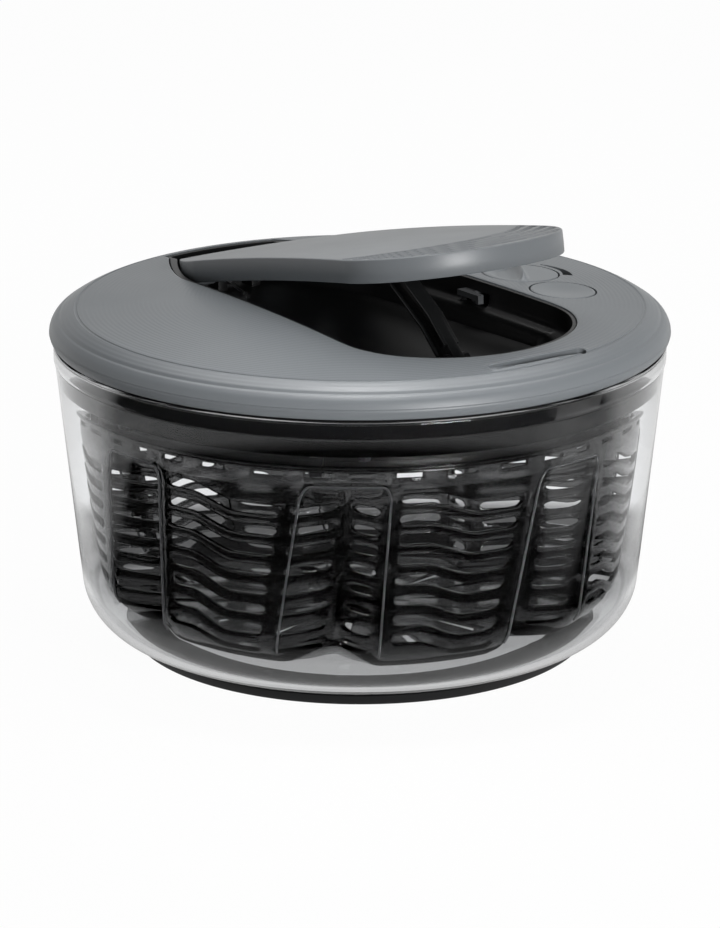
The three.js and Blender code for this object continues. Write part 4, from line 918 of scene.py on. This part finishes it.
driveArm = linkPlate("driveArm", linkShape(), link["thickness"])
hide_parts("drive_link")
for label, side in (("armFlangeA", 1), ("armFlangeB", -1)):
    linkPlate(label, flangeShape(side), link["flangeWidth"])


# controls
def knobSurface():
    # a flat disc with a curved fin across it; one side of the fin is scooped out
    full, turn, angle = knob["radius"], math.radians(knob["turn"]), evenAngles(160)
    radius = np.r_[0, np.linspace(0.6, full - 0.5, 34)][:, None]
    along, across = radius * np.cos(angle - turn), radius * np.sin(angle - turn)
    bow = across - knob["bow"] * (along / full) ** 2
    run = np.clip(1 - (np.abs(along) / (full - 1.2)) ** 4, 0, 1)
    fin = knob["grip"] * np.exp(-(np.abs(bow) / knob["gripHalf"]) ** 2.2) * run
    scoop = knob["scoop"] * smooth((bow - 0.5) / 5) * smooth((full - 1.6 - radius) / 5)
    top = np.concatenate([radius[..., None] * spokes(angle), (fin - scoop)[..., None]], -1)
    skirt = [(full - 0.15, -0.15), (full, -0.6), (full, -4.6), (full - 0.4, -5), (5, -5), (5, -8), (0, -8)]
    return np.concatenate([top, turnedPoints(skirt, angle)])


def buttonProfile():
    # stem, underside, softened edge, and a dished top: a sine of the way to the middle
    full, stem, low, share = button["radius"], button["stem"], button["stemLow"], np.linspace(0, 1, 14)
    dish = np.c_[(full - 1.6) * (1 - share), -0.1 - button["dish"] * np.sin(share * np.pi / 2) ** 1.3]
    return np.concatenate([[[0, low], [stem, low], [stem, -4], [full - 0.3, -4], [full, -3.7], [full, -0.5],
                            [full - 0.15, -0.15], [full - 0.5, 0], [full - 1.1, -0.02]], dish])


knobPoints = seatPlace(knob["centre"])(knobSurface())
knobCap = gridPiece("knobCap", knobPoints, "knob", knobSatin, "knob_grey", sharp=50)
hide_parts("lock_knob")
buttonCap = turned("buttonCap", buttonProfile(), "brake", knobSatin, "knob_grey", 128,
                   seatPlace(button["centre"]))
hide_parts("brake_button")
print("controls made")

# finishes of the kept solids, by the start of their names
finishes = [
    (pinSteel, ("lid_screw_", "lever_screw_", "plate_screw_", "hinge_pin", "lever_spring", "button_spring",
                "transfer_shaft", "main_shaft", "retaining_clip", "clutch_pawl_", "knob_screw")),
    (nylonWhite, ("basket_bearing", "transfer_gear", "centre_pinion")),
    (mechanismBlack, ("drive_hub", "drive_plate", "lever_frame", "knob_crank", "link_pin_", "rack_slider")),
    (boltGrey, ("lock_bolt",)),
    (footRubber, ("brake_pad",)),
]
for material, starts in finishes:
    for name, node in nodes.items():
        if name.startswith(starts):
            node.data.materials.clear()
            node.data.materials.append(material)

# studio: the camera's place in degrees and metres, and the lamps by their turn from the camera's side
studio = {"azimuth": 54.1, "pitch": 17.07, "distance": 1.7, "height": 0.596, "lens": 160.5}
azimuth = math.radians(studio["azimuth"])
towards = np.array([math.sin(azimuth), -math.cos(azimuth)])
lamps = {
    "keyLight": {"turn": 30, "elevation": 15, "distance": 1.5, "size": (0.45, 0.4), "power": 15},
    "backLight": {"turn": 180, "elevation": 70, "distance": 1.5, "size": (1.5, 1.1), "power": 14.5},
    # a narrow lamp over the lid's front
    "frontLight": {"turn": 180, "elevation": 84, "distance": 1.0, "size": (0.12, 0.12), "power": 0.05,
                   "aim": (*(towards * 0.118), 0.14), "spread": 15},
}
# what stands round the object: a pair is where a share starts and where it is full, in metres from the spin
# axis or to its side or front, and for the sky how far up a ray points; the strip lies between two lines, each
# given by its offset and slope
# the floor's dark disc, strip, close and aside shares set its painted reflections; its near, under and shadow
# shares set a painted shadow seen through clear plastic
backdrop = {"ambient": 0.06, "skyThrough": (0.8, 0.5), "skyReflected": (0.6, 0.3), "skyMirror": 0.8,
            "floorGlow": 0.97, "darkDisc": (1.0, 1.3), "stripLeft": (0.079, 0.249),
            "stripRight": (0.097, 0.176), "stripFade": (0.15, 0.5), "stripGlow": 0.7,
            "nearFloor": (0.33, 0.5), "underFloor": (0.17, 0.14), "underGlow": 0.45, "shadowGlow": 0.13,
            "closeFloor": (0.168, 0.15), "closeGlow": 0.6, "asideFrom": (0.13, 0.18),
            "asideBehind": (0.0, -0.06), "asideGlow": 0.72}


def addCamera():
    # away from the spin axis by its distance, up by its height, turned to the axis and pitched down
    data = bpy.data.cameras.new("camera")
    data.lens, data.sensor_width, data.clip_end = studio["lens"], 36, 60
    camera = linked("camera", data)
    camera.location = (*(towards * studio["distance"]), studio["height"])
    camera.rotation_euler = (math.radians(90 - studio["pitch"]), 0, azimuth)
    bpy.context.scene.camera = camera


def addSoftbox(name, turn, elevation, distance, size, power, aim=(0, 0, 0.08), spread=180):
    # a rectangular lamp on a sphere about its aim: sine and cosine of the turn and the elevation
    data = bpy.data.lights.new(name, "AREA")
    data.shape, data.size, data.size_y, data.energy = "RECTANGLE", *size, power
    data.spread = math.radians(spread)
    lamp = linked(name, data)
    bearing, up = azimuth + math.radians(turn), math.radians(elevation)
    level = math.cos(up) * distance
    offset = Vector((math.sin(bearing) * level, -math.cos(bearing) * level, math.sin(up) * distance))
    lamp.location = Vector(aim) + offset
    lamp.rotation_euler = (-offset).to_track_quat("-Z", "Y").to_euler()


def rayShares(paint):
    # three shares that exclude each other: rays from the eye, rays through clear plastic, and reflections
    made = paint.node("ShaderNodeLightPath", {}, {}).socket.node
    eye, glossy, depth, bent = (Wire(paint, made.outputs[label]) for label in (
        "Is Camera Ray", "Is Glossy Ray", "Glossy Depth", "Is Transmission Ray"))
    reflected = depth.math("MINIMUM", 1.0)
    onward = bent.math("MAXIMUM", glossy) * (1 - eye)
    return eye, onward * (1 - reflected), onward * reflected


def ramp(value, low, high):
    # 0 at one value, 1 at the other
    return ((value - low) / (high - low)).clamp()


def addWorld():
    # white for the eye; clear and glossy plastic see a white horizon under a dark ceiling
    world = bpy.data.worlds.new("studio")
    bpy.context.scene.world = world
    paint = Paint(world)
    up = paint.lengthAlong(paint.node("ShaderNodeTexCoord", {}, {}, "Generated"), (0, 0, 1))
    eye, through, reflected = rayShares(paint)
    rest = 1 - eye - through - reflected
    strength = (eye + through * ramp(up, *backdrop["skyThrough"])
                + reflected * ramp(up, *backdrop["skyReflected"]) * backdrop["skyMirror"]
                + rest * backdrop["ambient"])
    ground = paint.node("ShaderNodeBackground", {}, {"Color": (1, 1, 1, 1), "Strength": strength})
    paint.node("ShaderNodeOutputWorld", {}, {0: ground})


def addFloor():
    # a pale floor; in the object's reflections it shows painted reflections: a dark disc with a white strip to
    # the right, and white far off, close in and behind at the sides; through clear plastic, it shows a painted
    # shadow near the object
    paint = newPaint("paleFloor")
    place = paint.place()
    eye, through, reflected = rayShares(paint)
    pale = paint.mixColor(paint.noise(place, 40, 2), (0.88, 0.88, 0.88), (0.9, 0.9, 0.9))
    matte = paint.node("ShaderNodeBsdfDiffuse", {}, {"Color": pale})
    glow = paint.node("ShaderNodeEmission", {}, {"Color": (1, 1, 1, 1), "Strength": 1.0})
    black = paint.node("ShaderNodeEmission", {}, {"Color": (0, 0, 0, 1), "Strength": 0.0})
    front = paint.lengthAlong(place, (*towards, 0))
    side = paint.lengthAlong(place, (-towards[1], towards[0], 0))
    away = paint.fromAxis(place)
    (leftAt, leftSlope), (rightAt, rightSlope) = backdrop["stripLeft"], backdrop["stripRight"]
    # painted reflections: a white strip to the right, white close in, and white behind at the sides, over a
    # dark disc
    strip = (ramp(side * leftSlope + leftAt - front, 0, 0.012)
             * ramp(front + side * rightSlope - rightAt, 0, 0.012)
             * ramp(side, *backdrop["stripFade"]) * backdrop["stripGlow"])
    close = ramp(away, *backdrop["closeFloor"]) * backdrop["closeGlow"]
    aside = (ramp(side.math("ABSOLUTE"), *backdrop["asideFrom"]) * ramp(front, *backdrop["asideBehind"])
             * backdrop["asideGlow"])
    paintedReflection = (ramp(away, *backdrop["darkDisc"]) + strip + close + aside).clamp()
    # seen through clear plastic, a painted shadow: dark round the object, lighter right under it, white
    # further off
    below = ramp(away, *backdrop["underFloor"]) * backdrop["underGlow"]
    near = (ramp(away, *backdrop["nearFloor"]) + below).math("MAXIMUM", backdrop["shadowGlow"])
    lit = eye * backdrop["floorGlow"] + through * near + reflected * paintedReflection
    plain = 1 - through - reflected
    dark = paint.node("ShaderNodeMixShader", {}, {0: plain, 1: black, 2: matte})
    mixed = paint.node("ShaderNodeMixShader", {}, {0: lit.clamp(), 1: dark, 2: glow})
    paint.node("ShaderNodeOutputMaterial", {}, {0: mixed})
    rings = turnedPoints([(0, 0), (400, 0), (1500, 0), (9000, 0)], evenAngles(64))
    floor = objectFrom("floor", rings, gridFaces(*rings.shape[:2]).tolist())
    floor.data.materials.append(paint.owner)


addCamera()
addWorld()
addFloor()
for name, settings in lamps.items():
    addSoftbox(name, **settings)
bpy.context.scene.view_settings.view_transform = "Standard"
print("studio made")

bpy.context.view_layer.update()
